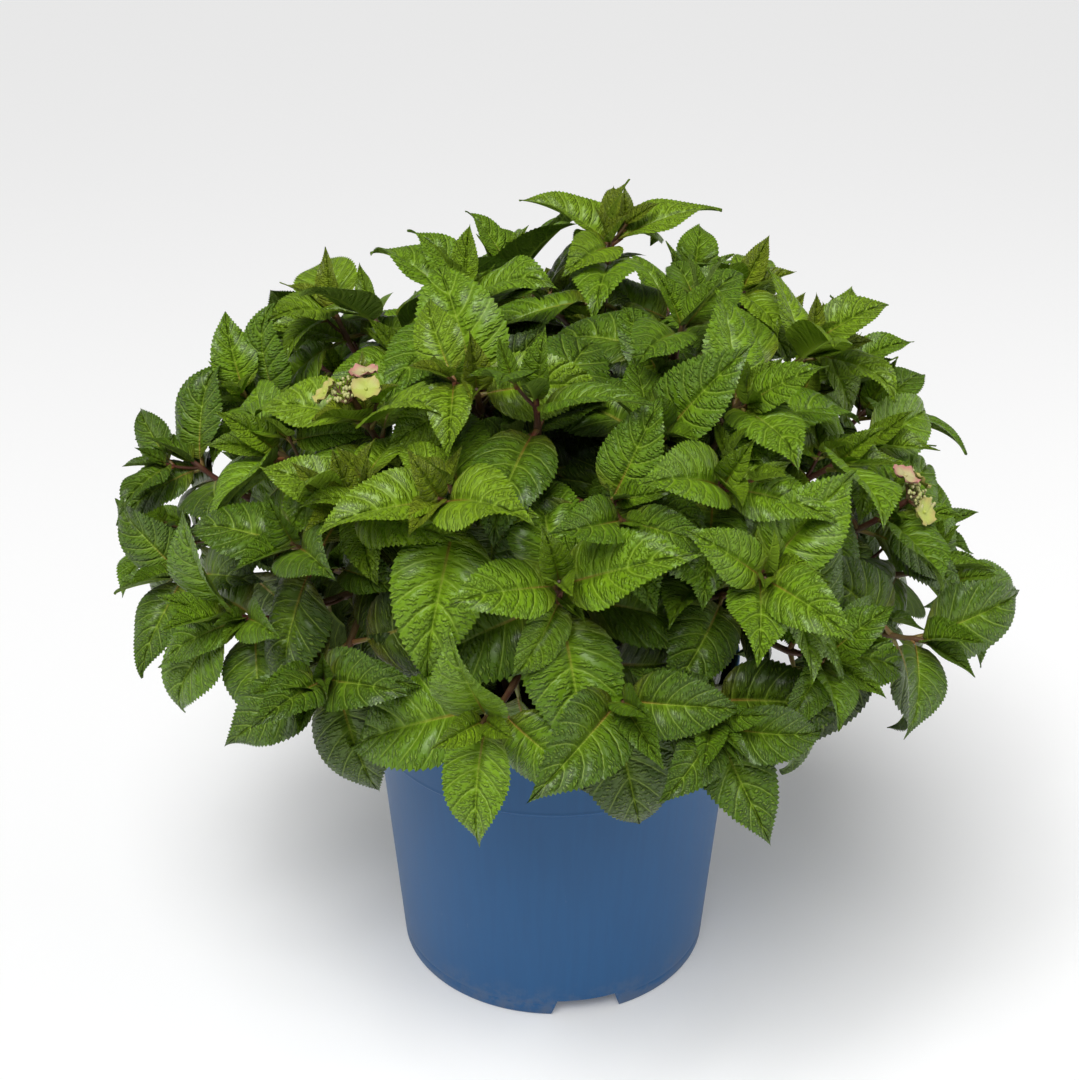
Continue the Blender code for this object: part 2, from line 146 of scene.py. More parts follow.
# Leaf pairs from the tip down: distance from the tip, blade length, angle from the shoot, recurve in degrees
PAIRS = (
    (0.002, 0.040, 20, 12),
    (0.006, 0.071, 50, 26),
    (0.019, 0.088, 70, 34),
    (0.041, 0.092, 86, 40),
    (0.070, 0.088, 100, 44),
)
LEAF_ASPECT = 0.59
YOUNG_ASPECT = 0.44
LEAF_KEEL = 0.0020
LEAF_STATIONS = (0.30, 0.96), (0.66, 0.72)
ROOT_DEPTH = 0.4
BARE_ROOT = 0.10  # of a blade next to its stalk may touch what it grows from
CLEARANCE = 0.0005
GRAVITY = 0.20
LIGHT = Vector((0, -0.5, 0.87))  # the way that leaves turn their upper sides
STEEP = 0.9  # an axis with a larger Z has its turns counted from the front
PAIRED_SHARE = 0.96  # of a shoot's length that may bear pairs
RETRIES = (  # degrees more of angle and of turn, and size, that a leaf tries until it has room
    (0, 0, 1),
    (14, 0, 1),
    (-14, 8, 1),
    (0, -16, 0.93),
    (24, 10, 0.93),
    (-22, -10, 0.88),
    (30, 20, 0.84),
    (8, -26, 0.80),
)

# Flower heads
PEDUNCLE = 0.014
HEAD_RADIUS = 0.013
HEAD_DEPTH = 0.010
SEPAL_TURNS = (20, 95, 215)
SEPAL_RADIUS = 0.0085
SEPAL_THICKNESS = 0.0012
SEPAL_TILT = 24
FLORET_KINDS = "lime", "cream", "lime"
HEAD_FORKS, FORK_BUDS = 7, 8  # clusters in a head, and buds in each

# Finer growth: twigs in the axils with two pairs of small leaves, and old leaves further down
TWIG_RADIUS, TWIG_TAPER = 0.0011, 0.8
TWIG_ANGLES = 30, 52  # from the shoot
TWIG_LENGTHS = 0.008, 0.022
TWIG_NODES = (1, 2, 3, 4)  # the pairs that have twigs in their axils
TWIG_CHANCE = 0.34
FINE_PAIRS = (0.001, 0.025, 16, 14), (0.004, 0.054, 50, 30)
FINE_ASPECT_STEP = 0.10  # how much wider for its length the older pair is
FINE_ROOT = 0.25  # of a finer blade next to its stalk may touch what it grows from
OLD_PAIRS = (0.058, 0.082, 0.098)  # distances from a shoot's tip
CANE_PAIRS = (0.004, 0.022, 0.044, 0.066)  # distances from a cane's tip
OLD_LEAF = (0.080, 92, 40)  # length, angle and recurve
OLD_SHARE = 0.97  # of a shoot's length that may bear old leaves
OLDEST = 5  # the age of those leaves, counted in pairs

# Leaf blades: rows follow the lateral veins, and columns run from the midrib to the margin
VEIN_PAIRS = 7
BLADES = {  # rows for each vein, and columns of each half, by the shortest leaf that has them
    0.058: (4, (0.0, 0.045, 0.28, 0.56, 0.82, 1.0)),
    0.030: (3, (0.0, 0.06, 0.40, 0.75, 1.0)),
    0.0: (2, (0.0, 0.10, 0.55, 1.0)),
}
STALK_SHARE = (0.04, 0.07, 0.11, 0.12, 0.12, 0.12)  # of a leaf's length that is bare stalk, for each pair
VEIN_SWEEP = 0.21  # how far a lateral vein runs towards the tip, as a share of the blade
VEIN_BOW = 0.65  # how much of that sweep gathers towards the margin
TOOTH_DEPTH = 0.042  # of the half width
TOOTH_LEAN = 0.014  # of the length
TOOTH_PLACE = 0.62  # of the way from one tooth's foot to the next
BLADE_THICKNESS = 0.00034
GROOVE_DEPTH = 0.00035  # of the midrib from above
RIB_DEPTH = 0.0009  # of the midrib below a large leaf
WAVES = 1.7  # along a margin
HOOK_START = 0.45  # of the length
STALK_OVERLAP = 0.05  # of the length that the stalk runs on under the blade
STALK_RADII = 0.0017, 0.0009  # of a grown leaf
LAYOUT = "OFBake"

# How leaves bend, for each age: degrees that each half rises from the midrib, how much of that rise the
# margin gives back, and degrees that the tip bends down beyond the recurve
FOLDS = (34, 56), (24, 46), (22, 44), (20, 42), (16, 38), (14, 36)
CUPS = (0.0, 0.3), (0.2, 0.8), (0.4, 1.1), (0.5, 1.3), (0.5, 1.4), (0.5, 1.4)
HOOKS = (0, 22), (10, 50), (15, 60), (15, 60), (15, 60), (15, 60)
TWIST = 30  # degrees from root to tip, either way
SWAY = 0.10  # of the length, either way
BEND_STEPS = 64  # along the midrib

# Tints from the youngest leaves to the oldest, and how many steps darker or lighter a spray may be, by tier
TINTS = ("bronze", "young", "bright", "fresh", "grown", "deep", "dark")
YOUNG_TINTS = ("bronze", "young")
# Painted shade: the low tier steps to darker tints for the shade under the crown, and the two front low
# sprays step less, as painted light where the front light falls
MOODS = {"low": (1, 1, 2), "middle": (-1, 0, 0, 1), "top": (-1, 0, 0, 1)}
FRONT_MOODS = {"low_1": (0, 0, 2), "low_2": (0, 2, 1)}  # of their leader and side shoots

# Steps of a limb's segment, and sides, in the finer meshes
CANE_STEPS, CANE_ROUND = 12, 12
SHOOT_STEPS, TWIG_STEPS = 10, 3
STALK_ROUND = 6
SCAR_STEP, SCAR_START = 0.032, 0.011  # of the rings on the canes, where old leaves stood
SCAR_BREADTH, SCAR_RISE = 0.0022, 0.16
NODE_BREADTH, NODE_RISE = 0.0025, 0.30  # of the swelling at each pair of leaves

# Camera
SENSOR_WIDTH = 36  # in millimetres
LENS_SHARE = 1624 / 1080  # the focal length over the sensor's width

# ---------------------------------------------------------------- the growing rule


def heading(azimuth, elevation):
    """The unit vector at an azimuth and an elevation."""
    a, e = math.radians(azimuth), math.radians(elevation)
    return Vector((math.sin(a) * math.cos(e), -math.cos(a) * math.cos(e), math.sin(e)))


def dome_point(azimuth, elevation, reach):
    """A point on the crown's dome, which a reach of 1 just meets."""
    out = heading(azimuth, elevation) * reach
    return DOME_CENTRE + Vector(o * r for o, r in zip(out, DOME_RADII))


def square_to(vector, axis):
    """The part of a vector that is square to an axis, made a unit vector."""
    return (vector - axis * vector.dot(axis)).normalized()


def hermite(start, start_pull, end, end_pull, count):
    """Points on a smooth curve that leaves start along one vector and arrives at end along another."""
    points = []
    for i in range(count + 1):
        t = i / count
        near = start * (2 * t**3 - 3 * t**2 + 1) + start_pull * (t**3 - 2 * t**2 + t)
        points.append(near + end * (3 * t**2 - 2 * t**3) + end_pull * (t**3 - t**2))
    return points


def tapered(count, base, tip):
    return [base + (tip - base) * i / count for i in range(count + 1)]


class Limb:
    """A cane or a shoot: a path of points with a radius at each, cut square to a direction at its foot."""

    def __init__(self, path, radii, foot_axis):
        self.path, self.radii, self.foot_axis = path, radii, foot_axis.normalized()
        self.axis = (path[-1] - path[-2]).normalized()
        self.length = sum((b - a).length for a, b in zip(path, path[1:]))

    def from_tip(self, distance):
        """(point, direction, radius) on the path, a distance back from its tip."""
        for i in range(len(self.path) - 1, 0, -1):
            far, near = self.path[i - 1], self.path[i]
            step = (near - far).length
            if distance <= step:
                share = distance / step
                radius = self.radii[i] + (self.radii[i - 1] - self.radii[i]) * share
                return near.lerp(far, share), (near - far).normalized(), radius
            distance -= step
        return self.path[0].copy(), (self.path[1] - self.path[0]).normalized(), self.radii[0]


class Leaf:
    """One blade: where it leaves the shoot, which way it runs and faces, and how it bends back."""

    def __init__(self, root, root_depth, along, face, length, width, recurve):
        self.root, self.root_depth = root, root_depth
        self.along, self.face = along, square_to(face, along)
        self.length, self.width, self.recurve = length, width, math.radians(recurve)
        self.side = self.along.cross(self.face).normalized()

    def midrib(self, share):
        """(point, facing) at a share of the length, on an arc that bends away from the leaf's upper side."""
        turn = max(self.recurve, 1e-4)
        out, back = math.sin(turn * share) / turn, (1 - math.cos(turn * share)) / turn
        point = self.root + self.length * (self.along * out - self.face * back)
        return point, self.face * math.cos(turn * share) + self.along * math.sin(turn * share)


def outward(axis, turn):
    """The unit vector square to an axis, at a turn about it from its upper side."""
    upper = square_to(UP if abs(axis.z) < STEEP else Vector((0, -1, 0)), axis)
    return Matrix.Rotation(math.radians(turn), 3, axis) @ upper


def leaf_at(limb, distance, turn, blade, change, nature):
    """A leaf on a limb, a distance back from its tip. change and nature vary its angle, turn and size."""
    length, angle, recurve, aspect, age = blade
    tilt, sway, scale = change
    size, twist, droop = nature
    root, axis, radius = limb.from_tip(distance)
    swing, out = math.radians(angle + tilt), outward(axis, turn + sway)
    along = axis * math.cos(swing) + out * math.sin(swing) - UP * GRAVITY * min(age, 2) / 2
    along.normalize()
    face = Matrix.Rotation(math.radians(twist), 3, along) @ square_to(axis + LIGHT, along)
    grown = length * scale * size
    leaf = Leaf(root, radius * ROOT_DEPTH, along, face, grown, grown * aspect, recurve + droop)
    leaf.pair = age
    return leaf


def leaf_solid(leaf, start=0.0, swell=0.0):
    """(points, triangles) of the blade from a share of its length on: a keeled solid that may be swollen."""
    points = [leaf.midrib(start)[0] if start else leaf.root - leaf.along * leaf.root_depth]
    for share, width in LEAF_STATIONS:
        point, facing = leaf.midrib(share)
        rise = facing * (LEAF_KEEL / 2 + swell)
        reach = leaf.side * (leaf.width / 2 * width + swell)
        points += [point - rise, point + rise + reach, point + rise - reach]
    tip = len(points)
    points.append(leaf.midrib(1)[0])
    faces = []
    for a, b in ((0, 1), (1, 2), (2, 0)):
        faces += [(0, 1 + a, 1 + b), (1 + a, 4 + a, 4 + b), (1 + a, 4 + b, 1 + b), (4 + a, tip, 4 + b)]
    return points, faces


def limb_solid(limb, sides):
    """(points, triangles) of a limb with flat ends."""
    points = []
    for i, (point, radius) in enumerate(zip(limb.path, limb.radii)):
        before, after = limb.path[max(i - 1, 0)], limb.path[min(i + 1, len(limb.path) - 1)]
        axis = (after - before).normalized() if i else limb.foot_axis
        across = square_to(Vector((0.31, 0.17, 0.93)), axis) * radius
        points += [point + Matrix.Rotation(math.tau * k / sides, 3, axis) @ across for k in range(sides)]
    last = len(points) - sides
    faces = [(0, k + 1, k) for k in range(1, sides - 1)]
    faces += [(last, last + k, last + k + 1) for k in range(1, sides - 1)]
    for ring in range(0, last, sides):
        for k in range(sides):
            a, b = ring + k, ring + (k + 1) % sides
            faces += [(a, b, b + sides), (a, b + sides, a + sides)]
    return points, faces


def soil_surface(radius):
    """The root ball's height at a distance from the middle: it rises to a blunt point."""
    return SOIL_HEIGHT + SOIL_DOME * (1 - radius / RIM_RADIUS)


def grow_cane(name):
    """The bare cane of a bough, from its flared foot on the root ball to where it enters its mass."""
    azimuth, elevation, reach = BOUGHS[name]
    ring = CANE_RING[name.split("_")[0]]
    foot = heading(azimuth, 0) * ring
    foot.z = soil_surface(ring - CANE_BASE * CANE_FLARE) + GAP
    end = CROWN_FOOT.lerp(dome_point(azimuth, elevation, reach), CANE_SHARE)
    span = (end - foot).length
    path = hermite(foot, UP * span * 1.1, end, heading(azimuth, elevation * 0.75) * span, CANE_BENDS)
    radii = tapered(CANE_BENDS, CANE_BASE, CANE_TIP)
    radii[0] *= CANE_FLARE
    return Limb(path, radii, UP)


def tip_lean(elevation):
    """The elevation that a shoot's tip has turned up to, from its place on the dome."""
    return min(30 + 0.75 * elevation, 88)


def grow_shoots(name, cane, rng):
    """A mass's leader, from just clear of the cane's tip, and its two side shoots."""
    azimuth, elevation, reach = BOUGHS[name]
    turn, drop = FORKS[name.split("_")[0]]
    start = cane.path[-1] + cane.axis * GAP * 2
    tip = dome_point(azimuth, elevation, reach)
    span = (tip - start).length
    path = hermite(start, cane.axis * span, tip, heading(azimuth, tip_lean(elevation)) * span, SHOOT_BENDS)
    leader = Limb(path, tapered(SHOOT_BENDS, LEADER_BASE, SHOOT_TIP), cane.axis)
    shoots = [leader]
    for way, share in ((-1, 0.10), (1, 0.22)):
        fork, axis, _ = leader.from_tip(leader.length * (1 - share))
        swung = azimuth + way * (turn / math.cos(math.radians(elevation)) + rng.uniform(-2, 2))
        low = elevation + drop + rng.uniform(-3, 3)
        tip = dome_point(swung, low, reach * rng.uniform(0.95, 1.02))
        span = (tip - fork).length
        start_pull = (axis + (tip - fork).normalized()) * span * 0.6
        path = hermite(fork, start_pull, tip, heading(swung, tip_lean(low)) * span, SHOOT_BENDS)
        shoots.append(Limb(path, tapered(SHOOT_BENDS, SIDE_BASE, SHOOT_TIP), start_pull))
    return shoots


def tree_of(solids):
    """A search tree over several (points, triangles)."""
    points, faces = [], []
    for more_points, more_faces in solids:
        faces += [tuple(i + len(points) for i in face) for face in more_faces]
        points += more_points
    return BVHTree.FromPolygons(points, faces)


class Mass:
    """The foliage on one cane: its shoots, its flower head if it has one, and the leaves that found room."""

    def __init__(self, name, rng):
        self.name, self.ring, self.cane = name, name.split("_")[0], grow_cane(name)
        self.shoots = grow_shoots(name, self.cane, rng)
        self.rolls = [rng.uniform(0, 180) for _ in self.shoots]
        self.middle = self.shoots[0].from_tip(self.shoots[0].length * 0.35)[0]
        self.leaves, self.twigs = [], []
        self.solids = [limb_solid(shoot, SHOOT_SIDES) for shoot in self.shoots]
        if name in FLOWERING:
            self.solids += flower_solids(self.shoots[FLOWERING[name]])
        self.tree = tree_of(self.solids)

    def add(self, leaf, number):
        """Adds a leaf that belongs to a numbered shoot."""
        leaf.shoot = number
        self.leaves.append(leaf)
        self.solids.append(leaf_solid(leaf))
        self.tree = tree_of(self.solids)

    def holds(self, leaf):
        """True if the blade stays in the crown and in the mass's own space."""
        for share in (0.6, 1.0):
            point = leaf.midrib(share)[0]
            away = Vector((p - c) / r for p, c, r in zip(point, LIMIT_CENTRE, LIMIT_RADII))
            if away.length > 1 or point.z < LOWEST_LEAF or (point - self.middle).length > MASS_REACH:
                return False
        return True


def clears(solid, trees):
    """True if a solid touches none of the trees."""
    tree = tree_of([solid])
    return not any(tree.overlap(other) for other in trees)


def has_room(leaf, mass, others):
    """True if the whole blade clears the others' trees, and all but its root clears its own mass."""
    outer = leaf_solid(leaf, BARE_ROOT, CLEARANCE)
    return clears(outer, [mass.tree]) and clears(leaf_solid(leaf, swell=CLEARANCE), others)


def shoots_with(masses, distance):
    """(mass, number, shoot, distance) of each shoot that is long enough, with its flower's stalk added on."""
    for mass in masses:
        for number, shoot in enumerate(mass.shoots):
            bare = PEDUNCLE if FLOWERING.get(mass.name) == number else 0
            if distance + bare <= shoot.length * PAIRED_SHARE:
                yield mass, number, shoot, distance + bare


def trees_beside(mass, masses, fixed):
    """The trees of everything but one mass."""
    return [*fixed, *(other.tree for other in masses if other is not mass)]


def grow_leaves(masses, fixed, rng):
    """Places the leaves of every shoot, youngest pairs first, each turned or shrunk until it has room."""
    for pair, (distance, length, angle, recurve) in enumerate(PAIRS):
        blade = length, angle, recurve, LEAF_ASPECT if pair else YOUNG_ASPECT, pair
        for mass, number, shoot, back in shoots_with(masses, distance):
            if pair >= LEAF_PAIRS[mass.ring]:
                continue
            others = trees_beside(mass, masses, fixed)
            for side in (0, 180):
                nature = rng.uniform(0.86, 1.08), rng.uniform(-12, 12), rng.uniform(-10, 12)
                turn = mass.rolls[number] + 90 * pair + side
                for change in RETRIES:
                    leaf = leaf_at(shoot, back, turn, blade, change, nature)
                    if mass.holds(leaf) and has_room(leaf, mass, others):
                        mass.add(leaf, number)
                        break


def as_solid(made):
    """(points, triangles) of a bmesh, which is then freed."""
    bmesh.ops.triangulate(made, faces=made.faces)
    made.verts.index_update()
    solid = [v.co.copy() for v in made.verts], [tuple(v.index for v in face.verts) for face in made.faces]
    made.free()
    return solid


def head_stand(shoot):
    """The frame of the flower head on a shoot's tip: its middle, with Z along the shoot."""
    stand = shoot.axis.to_track_quat("Z", "Y").to_matrix().to_4x4()
    stand.translation = shoot.path[-1] + shoot.axis * HEAD_DEPTH * 0.3
    return stand


def flower_solids(shoot):
    """A lacecap head on a shoot's tip: a flat-topped cluster of buds, with open florets at its edge."""
    stand = head_stand(shoot)
    cluster = 8, HEAD_RADIUS * 0.15, HEAD_RADIUS, HEAD_DEPTH
    sepal = 6, SEPAL_RADIUS, SEPAL_RADIUS, SEPAL_THICKNESS
    places = [(cluster, stand), *((sepal, stand @ floret_place(turn)) for turn in SEPAL_TURNS)]
    solids = []
    for (sides, radius1, radius2, depth), place in places:
        made = bmesh.new()
        size = dict(radius1=radius1, radius2=radius2, depth=depth)
        bmesh.ops.create_cone(made, cap_ends=True, segments=sides, **size)
        bmesh.ops.transform(made, matrix=place, verts=made.verts)
        solids.append(as_solid(made))
    return solids


def floret_place(turn):
    """An open floret's place in its head's frame."""
    out = Matrix.Translation((HEAD_RADIUS, 0, HEAD_DEPTH * 0.4))
    tilt = Matrix.Rotation(math.radians(SEPAL_TILT), 4, "Y")
    return Matrix.Rotation(math.radians(turn), 4, "Z") @ out @ tilt


def body_radius(height):
    """The pot body's outer radius at a height below the shoulder."""
    return BASE_RADIUS + (SHOULDER_RADIUS - BASE_RADIUS) * height / SHOULDER_HEIGHT


def collar_radius(height):
    """The collar's outer radius at a height above the shoulder."""
    share = (height - SHOULDER_HEIGHT) / (POT_HEIGHT - SHOULDER_HEIGHT)
    return SHOULDER_RADIUS + COLLAR_STEP + (RIM_RADIUS - SHOULDER_RADIUS - COLLAR_STEP) * share


def pot_skin():
    """(points, triangles) of a surface just off the pot and the soil, that leaves keep clear of."""
    collar, mouth = RIM_RADIUS + GAP, RIM_RADIUS - WALL - GAP
    profile = [
        (body_radius(LOWEST_LEAF) + GAP, LOWEST_LEAF),
        (SHOULDER_RADIUS + COLLAR_STEP + GAP, SHOULDER_HEIGHT),
        (collar, POT_HEIGHT + GAP),
        (mouth, POT_HEIGHT + GAP),
        (mouth, SOIL_HEIGHT + GAP),
        (GAP, SOIL_HEIGHT + SOIL_DOME + GAP),
    ]
    rows = len(profile)
    turns = [Matrix.Rotation(math.tau * i / POT_SIDES, 3, "Z") for i in range(POT_SIDES)]
    points = [turn @ Vector((r, 0, z)) for turn in turns for r, z in profile]
    faces = []
    for i in range(POT_SIDES):
        for k in range(rows - 1):
            a, b = i * rows + k, (i + 1) % POT_SIDES * rows + k
            faces += [(a, b, b + 1), (a, b + 1, a + 1)]
    return points, faces


def grow_finer(masses, fixed, rng):
    """Carries the masses on: twigs in the axils, then old leaves down the shoots and the canes."""

    def add_pair(mass, number, limb, distance, turn, blade):
        """Adds two opposite leaves to a limb, each in the first of the changed places that has room."""
        others = trees_beside(mass, masses, fixed)
        for side in (0, 180):
            nature = rng.uniform(0.84, 1.12), rng.uniform(-18, 18), rng.uniform(-10, 16)
            for change in RETRIES:
                leaf = leaf_at(limb, distance, turn + side, blade, change, nature)
                if mass.holds(leaf) and clears(leaf_solid(leaf, FINE_ROOT), [*others, mass.tree]):
                    mass.add(leaf, number)
                    break

    def add_twig(mass, number, shoot, distance, turn):
        """Adds a twig and its leaves, if it has room and bears any."""
        twig = grow_twig(shoot, turn, distance, rng)
        free_end = Limb(twig.path[1:], twig.radii[1:], twig.axis)
        if not clears(limb_solid(free_end, SHOOT_SIDES), [*fixed, *(other.tree for other in masses)]):
            return
        mass.solids.append(limb_solid(twig, SHOOT_SIDES))
        roll, before = rng.uniform(0, 180), len(mass.leaves)
        for age, (place, length, angle, recurve) in enumerate(FINE_PAIRS):
            blade = length, angle, recurve, YOUNG_ASPECT + FINE_ASPECT_STEP * age, age
            add_pair(mass, number, twig, place, roll + 90 * age, blade)
        if len(mass.leaves) > before:
            mass.twigs.append(twig)
        else:
            mass.solids.pop()

    for node in TWIG_NODES:
        for mass, number, shoot, back in shoots_with(masses, PAIRS[node][0]):
            for side in (0, 180):
                if rng.random() <= TWIG_CHANCE:
                    add_twig(mass, number, shoot, back, mass.rolls[number] + 90 * node + side)
    old = (*OLD_LEAF, LEAF_ASPECT, OLDEST)
    for distance in OLD_PAIRS:
        for mass in masses:
            for number, shoot in enumerate(mass.shoots):
                if distance < shoot.length * OLD_SHARE:
                    add_pair(mass, number, shoot, distance, rng.uniform(0, 180), old)
    for distance in CANE_PAIRS:
        for mass in masses:
            add_pair(mass, 0, mass.cane, distance, rng.uniform(0, 180), old)


def grow_twig(shoot, turn, distance, rng):
    """A short twig out of an axil, that turns up towards its tip."""
    root, axis, radius = shoot.from_tip(distance)
    swing = math.radians(rng.uniform(*TWIG_ANGLES))
    length = rng.uniform(*TWIG_LENGTHS) + radius
    start_pull = (axis * math.cos(swing) + outward(axis, turn) * math.sin(swing)) * length
    end_pull = (start_pull + UP * length * 0.5).normalized() * length
    path = hermite(root, start_pull, root + (start_pull + end_pull) / 2, end_pull, SHOOT_BENDS)
    return Limb(path, tapered(SHOOT_BENDS, TWIG_RADIUS, TWIG_RADIUS * TWIG_TAPER), start_pull)


@functools.lru_cache(maxsize=1)
def grown_plant():
    """The masses with all their leaves, grown once by the seeded rule."""
    rng = random.Random(SEED)
    masses = [Mass(name, rng) for name in BOUGHS]
    canes = tree_of([limb_solid(mass.cane, CANE_SIDES) for mass in masses])
    fixed = [canes, tree_of([pot_skin()])]
    grow_leaves(masses, fixed, rng)
    grow_finer(masses, fixed, random.Random(SEED + 4))
    return masses


# ---------------------------------------------------------------- finishes


class Value:
    """A number on a socket. Arithmetic on it adds Math nodes."""

    def __init__(self, finish, socket):
        self.finish, self.socket = finish, socket

    def math(self, operation, *others):
        return self.finish.node("Math", {"operation": operation}, dict(enumerate((self, *others))))

    def __add__(self, other):
        return self.math("ADD", other)

    def __sub__(self, other):
        return self.math("SUBTRACT", other)

    def __mul__(self, other):
        return self.math("MULTIPLY", other)

    def __rsub__(self, other):
        return self.finish.node("Math", {"operation": "SUBTRACT"}, {0: other, 1: self})

    def __gt__(self, other):
        return self.math("GREATER_THAN", other)

    __radd__, __rmul__ = __add__, __mul__

    def fract(self):
        return self.math("FRACT")

    def size(self):
        return self.math("ABSOLUTE")

    def rise(self, low, high):
        """0 below low, 1 above high and smooth between. low may be the larger, which turns it round."""
        settings = {"interpolation_type": "SMOOTHSTEP"}
        if low < high:
            return self.finish.node("MapRange", settings, {"Value": self, "From Min": low, "From Max": high})
        values = {"Value": self, "From Min": high, "From Max": low, "To Min": 1.0, "To Max": 0.0}
        return self.finish.node("MapRange", settings, values)


class Finish:
    """A material under construction round its Principled shader."""

    def __init__(self, name, **constants):
        self.material = bpy.data.materials.new(name)
        self.material.use_nodes = True
        self.tree = self.material.node_tree
        self.shader = self.tree.nodes["Principled BSDF"]
        for key, value in constants.items():
            self.feed(self.shader.inputs[key.replace("_", " ").title().replace("Ior", "IOR")], value)

    def feed(self, socket, value):
        if isinstance(value, Value):
            self.tree.links.new(value.socket, socket)
        elif hasattr(value, "__len__") and len(socket.default_value) == 4:
            socket.default_value = (*value, 1)
        else:
            socket.default_value = value

    def node(self, kind, settings=None, values=None, output=0):
        """Adds a node of a type with its settings, then the values or links of its sockets."""
        made = self.tree.nodes.new(f"ShaderNode{kind}")
        for key, setting in (settings or {}).items():
            setattr(made, key, setting)
        for key, value in (values or {}).items():
            self.feed(made.inputs[key], value)
        return Value(self, made.outputs[output])

    def noise(self, vector, scale, detail=2.0, roughness=0.5, dimensions="3D"):
        values = {"Vector": vector, "Scale": scale, "Detail": detail, "Roughness": roughness}
        return self.node("TexNoise", {"noise_dimensions": dimensions}, values)

    def mix(self, factor, a, b):
        """Two colours mixed by a factor."""
        return self.node("Mix", {"data_type": "RGBA"}, {0: factor, 6: a, 7: b}, output=2)

    def vector(self, x, y):
        return self.node("CombineXYZ", None, {0: x, 1: y})

    def bump(self, height, distance, strength=1.0):
        values = {"Height": height, "Distance": distance, "Strength": strength}
        self.feed(self.shader.inputs["Normal"], self.node("Bump", None, values))

    def place(self):
        """The point on the object, in metres."""
        return self.node("TexCoord", output=3)

    def stretched(self, scale, rotation=(0, 0, 0)):
        """The point on the object, turned and then scaled, for marks that are longer one way."""
        return self.node("Mapping", None, {"Vector": self.place(), "Rotation": rotation, "Scale": scale})

    def part(self, vector, index):
        """One number of a vector."""
        return self.node("SeparateXYZ", None, {0: vector}, output=index)

    def layout(self):
        """(across, up) on the piece's own layout."""
        spot = self.node("UVMap", {"uv_map": LAYOUT})
        return self.part(spot, 0), self.part(spot, 1)

    def colour(self, value):
        self.feed(self.shader.inputs["Base Color"], value)

    def roughness(self, value):
        self.feed(self.shader.inputs["Roughness"], value)


def blended(a, b, share):
    """A plain colour between two others."""
    return tuple(x + (y - x) * share for x, y in zip(a, b))


def vein_run(across):
    """How much of its sweep a lateral vein has made, from 0 at the midrib to 1 at the margin."""
    return across * (1 - VEIN_BOW) + across * across * VEIN_BOW


def leaf_finish(name, tint, under, look):
    """Quilted green between pale veins, bronze where the blade leaves the stalk, dull and pale beneath, with
    painted shade in the pucker valleys and painted highlights on the pucker crests and along the margin.
    """
    finish = Finish(name, specular_ior_level=0.33, coat_roughness=0.25)
    u, v = finish.layout()
    beneath = u > 0.5
    across = ((u * 2).fract() * 2 - 1).size()
    phase = v * VEIN_PAIRS
    from_vein = 1 - ((phase.fract() - 0.5) * 2).size()  # 0 on a lateral vein and 1 half way to the next
    speckle = finish.noise(finish.vector(u * 40, v * 20), 1.0, 3.0, 0.6, "2D")
    patch = finish.noise(finish.vector(u * 6, v * 4), 1.0, 2.0, 0.5, "2D")

    # Puckers: rungs from one lateral vein to the next, square to the midrib
    wobble = speckle - 0.5
    side = (u > 0.25) * 37 + beneath * 11
    sweep = (v * math.pi).math("SINE") * VEIN_SWEEP
    share = v + sweep * vein_run(across)
    cells = finish.vector(share * 34 + wobble * 1.3, phase * 2.4 + side + wobble * 0.8)
    settings = {"voronoi_dimensions": "2D", "feature": "F1"}
    centre = finish.node("TexVoronoi", settings, {"Vector": cells, "Scale": 1.0, "Randomness": 0.55})
    dome = centre.rise(0.62, 0.03)
    pillow = dome * dome * (3 - dome * 2)
    vein = from_vein.rise(0.10, 0.02) * across.rise(1.0, 0.72)
    midrib = across.rise(0.045, 0.018)
    rib = vein.math("MAXIMUM", midrib)
    bank = from_vein.rise(0.0, 0.42) * across.rise(0.0, 0.20)
    height = pillow * (bank * 0.8 + 0.2)
    finish.bump((height + bank * 0.8) * (1 - beneath * 0.5), look.pucker, look.relief)

    # Painted shade: this darker tint fills the valleys between the puckers, and the speckle also darkens the
    # blade at random
    dark_speckle_and_valley_shade = blended(tint, (0.0, 0.0, 0.0), 0.28)
    painted_crest_highlight = blended(tint, look.vein_and_highlight_colour, 0.55)
    bright = blended(tint, look.glow_colour, 0.40)
    body = finish.mix(pillow * 0.25 + speckle * 0.6 + 0.15, dark_speckle_and_valley_shade, tint)
    # Painted highlight: a pale dash on the top of each pucker
    body = finish.mix(dome.rise(0.62, 0.98) * bank * 0.44, body, painted_crest_highlight)
    body = finish.mix(across.rise(0.80, 0.0) * patch * 0.9, body, bright)
    # Pale veins, and a painted highlight along the margin
    body = finish.mix(vein * 0.40 + across.rise(0.95, 1.0) * 0.3, body, look.vein_and_highlight_colour)
    body = finish.mix(v.rise(0.22, 0.0) * patch * 0.8, body, look.foot_colour)
    reddened = v.rise(0.55, 0.10)
    midrib_colour = finish.mix(reddened * 0.8, look.vein_and_highlight_colour, look.stalk_colour)
    body = finish.mix(midrib * 0.66, body, midrib_colour)
    pale = finish.mix(rib * 0.5 + speckle * 0.2, blended(tint, under, 0.5), look.vein_and_highlight_colour)
    finish.colour(finish.mix(beneath, body, pale))
    finish.roughness(speckle * 0.14 + beneath * 0.25 + (look.gloss - 0.07))
    finish.feed(finish.shader.inputs["Coat Weight"], (1 - beneath) * look.polish)
    return finish.material


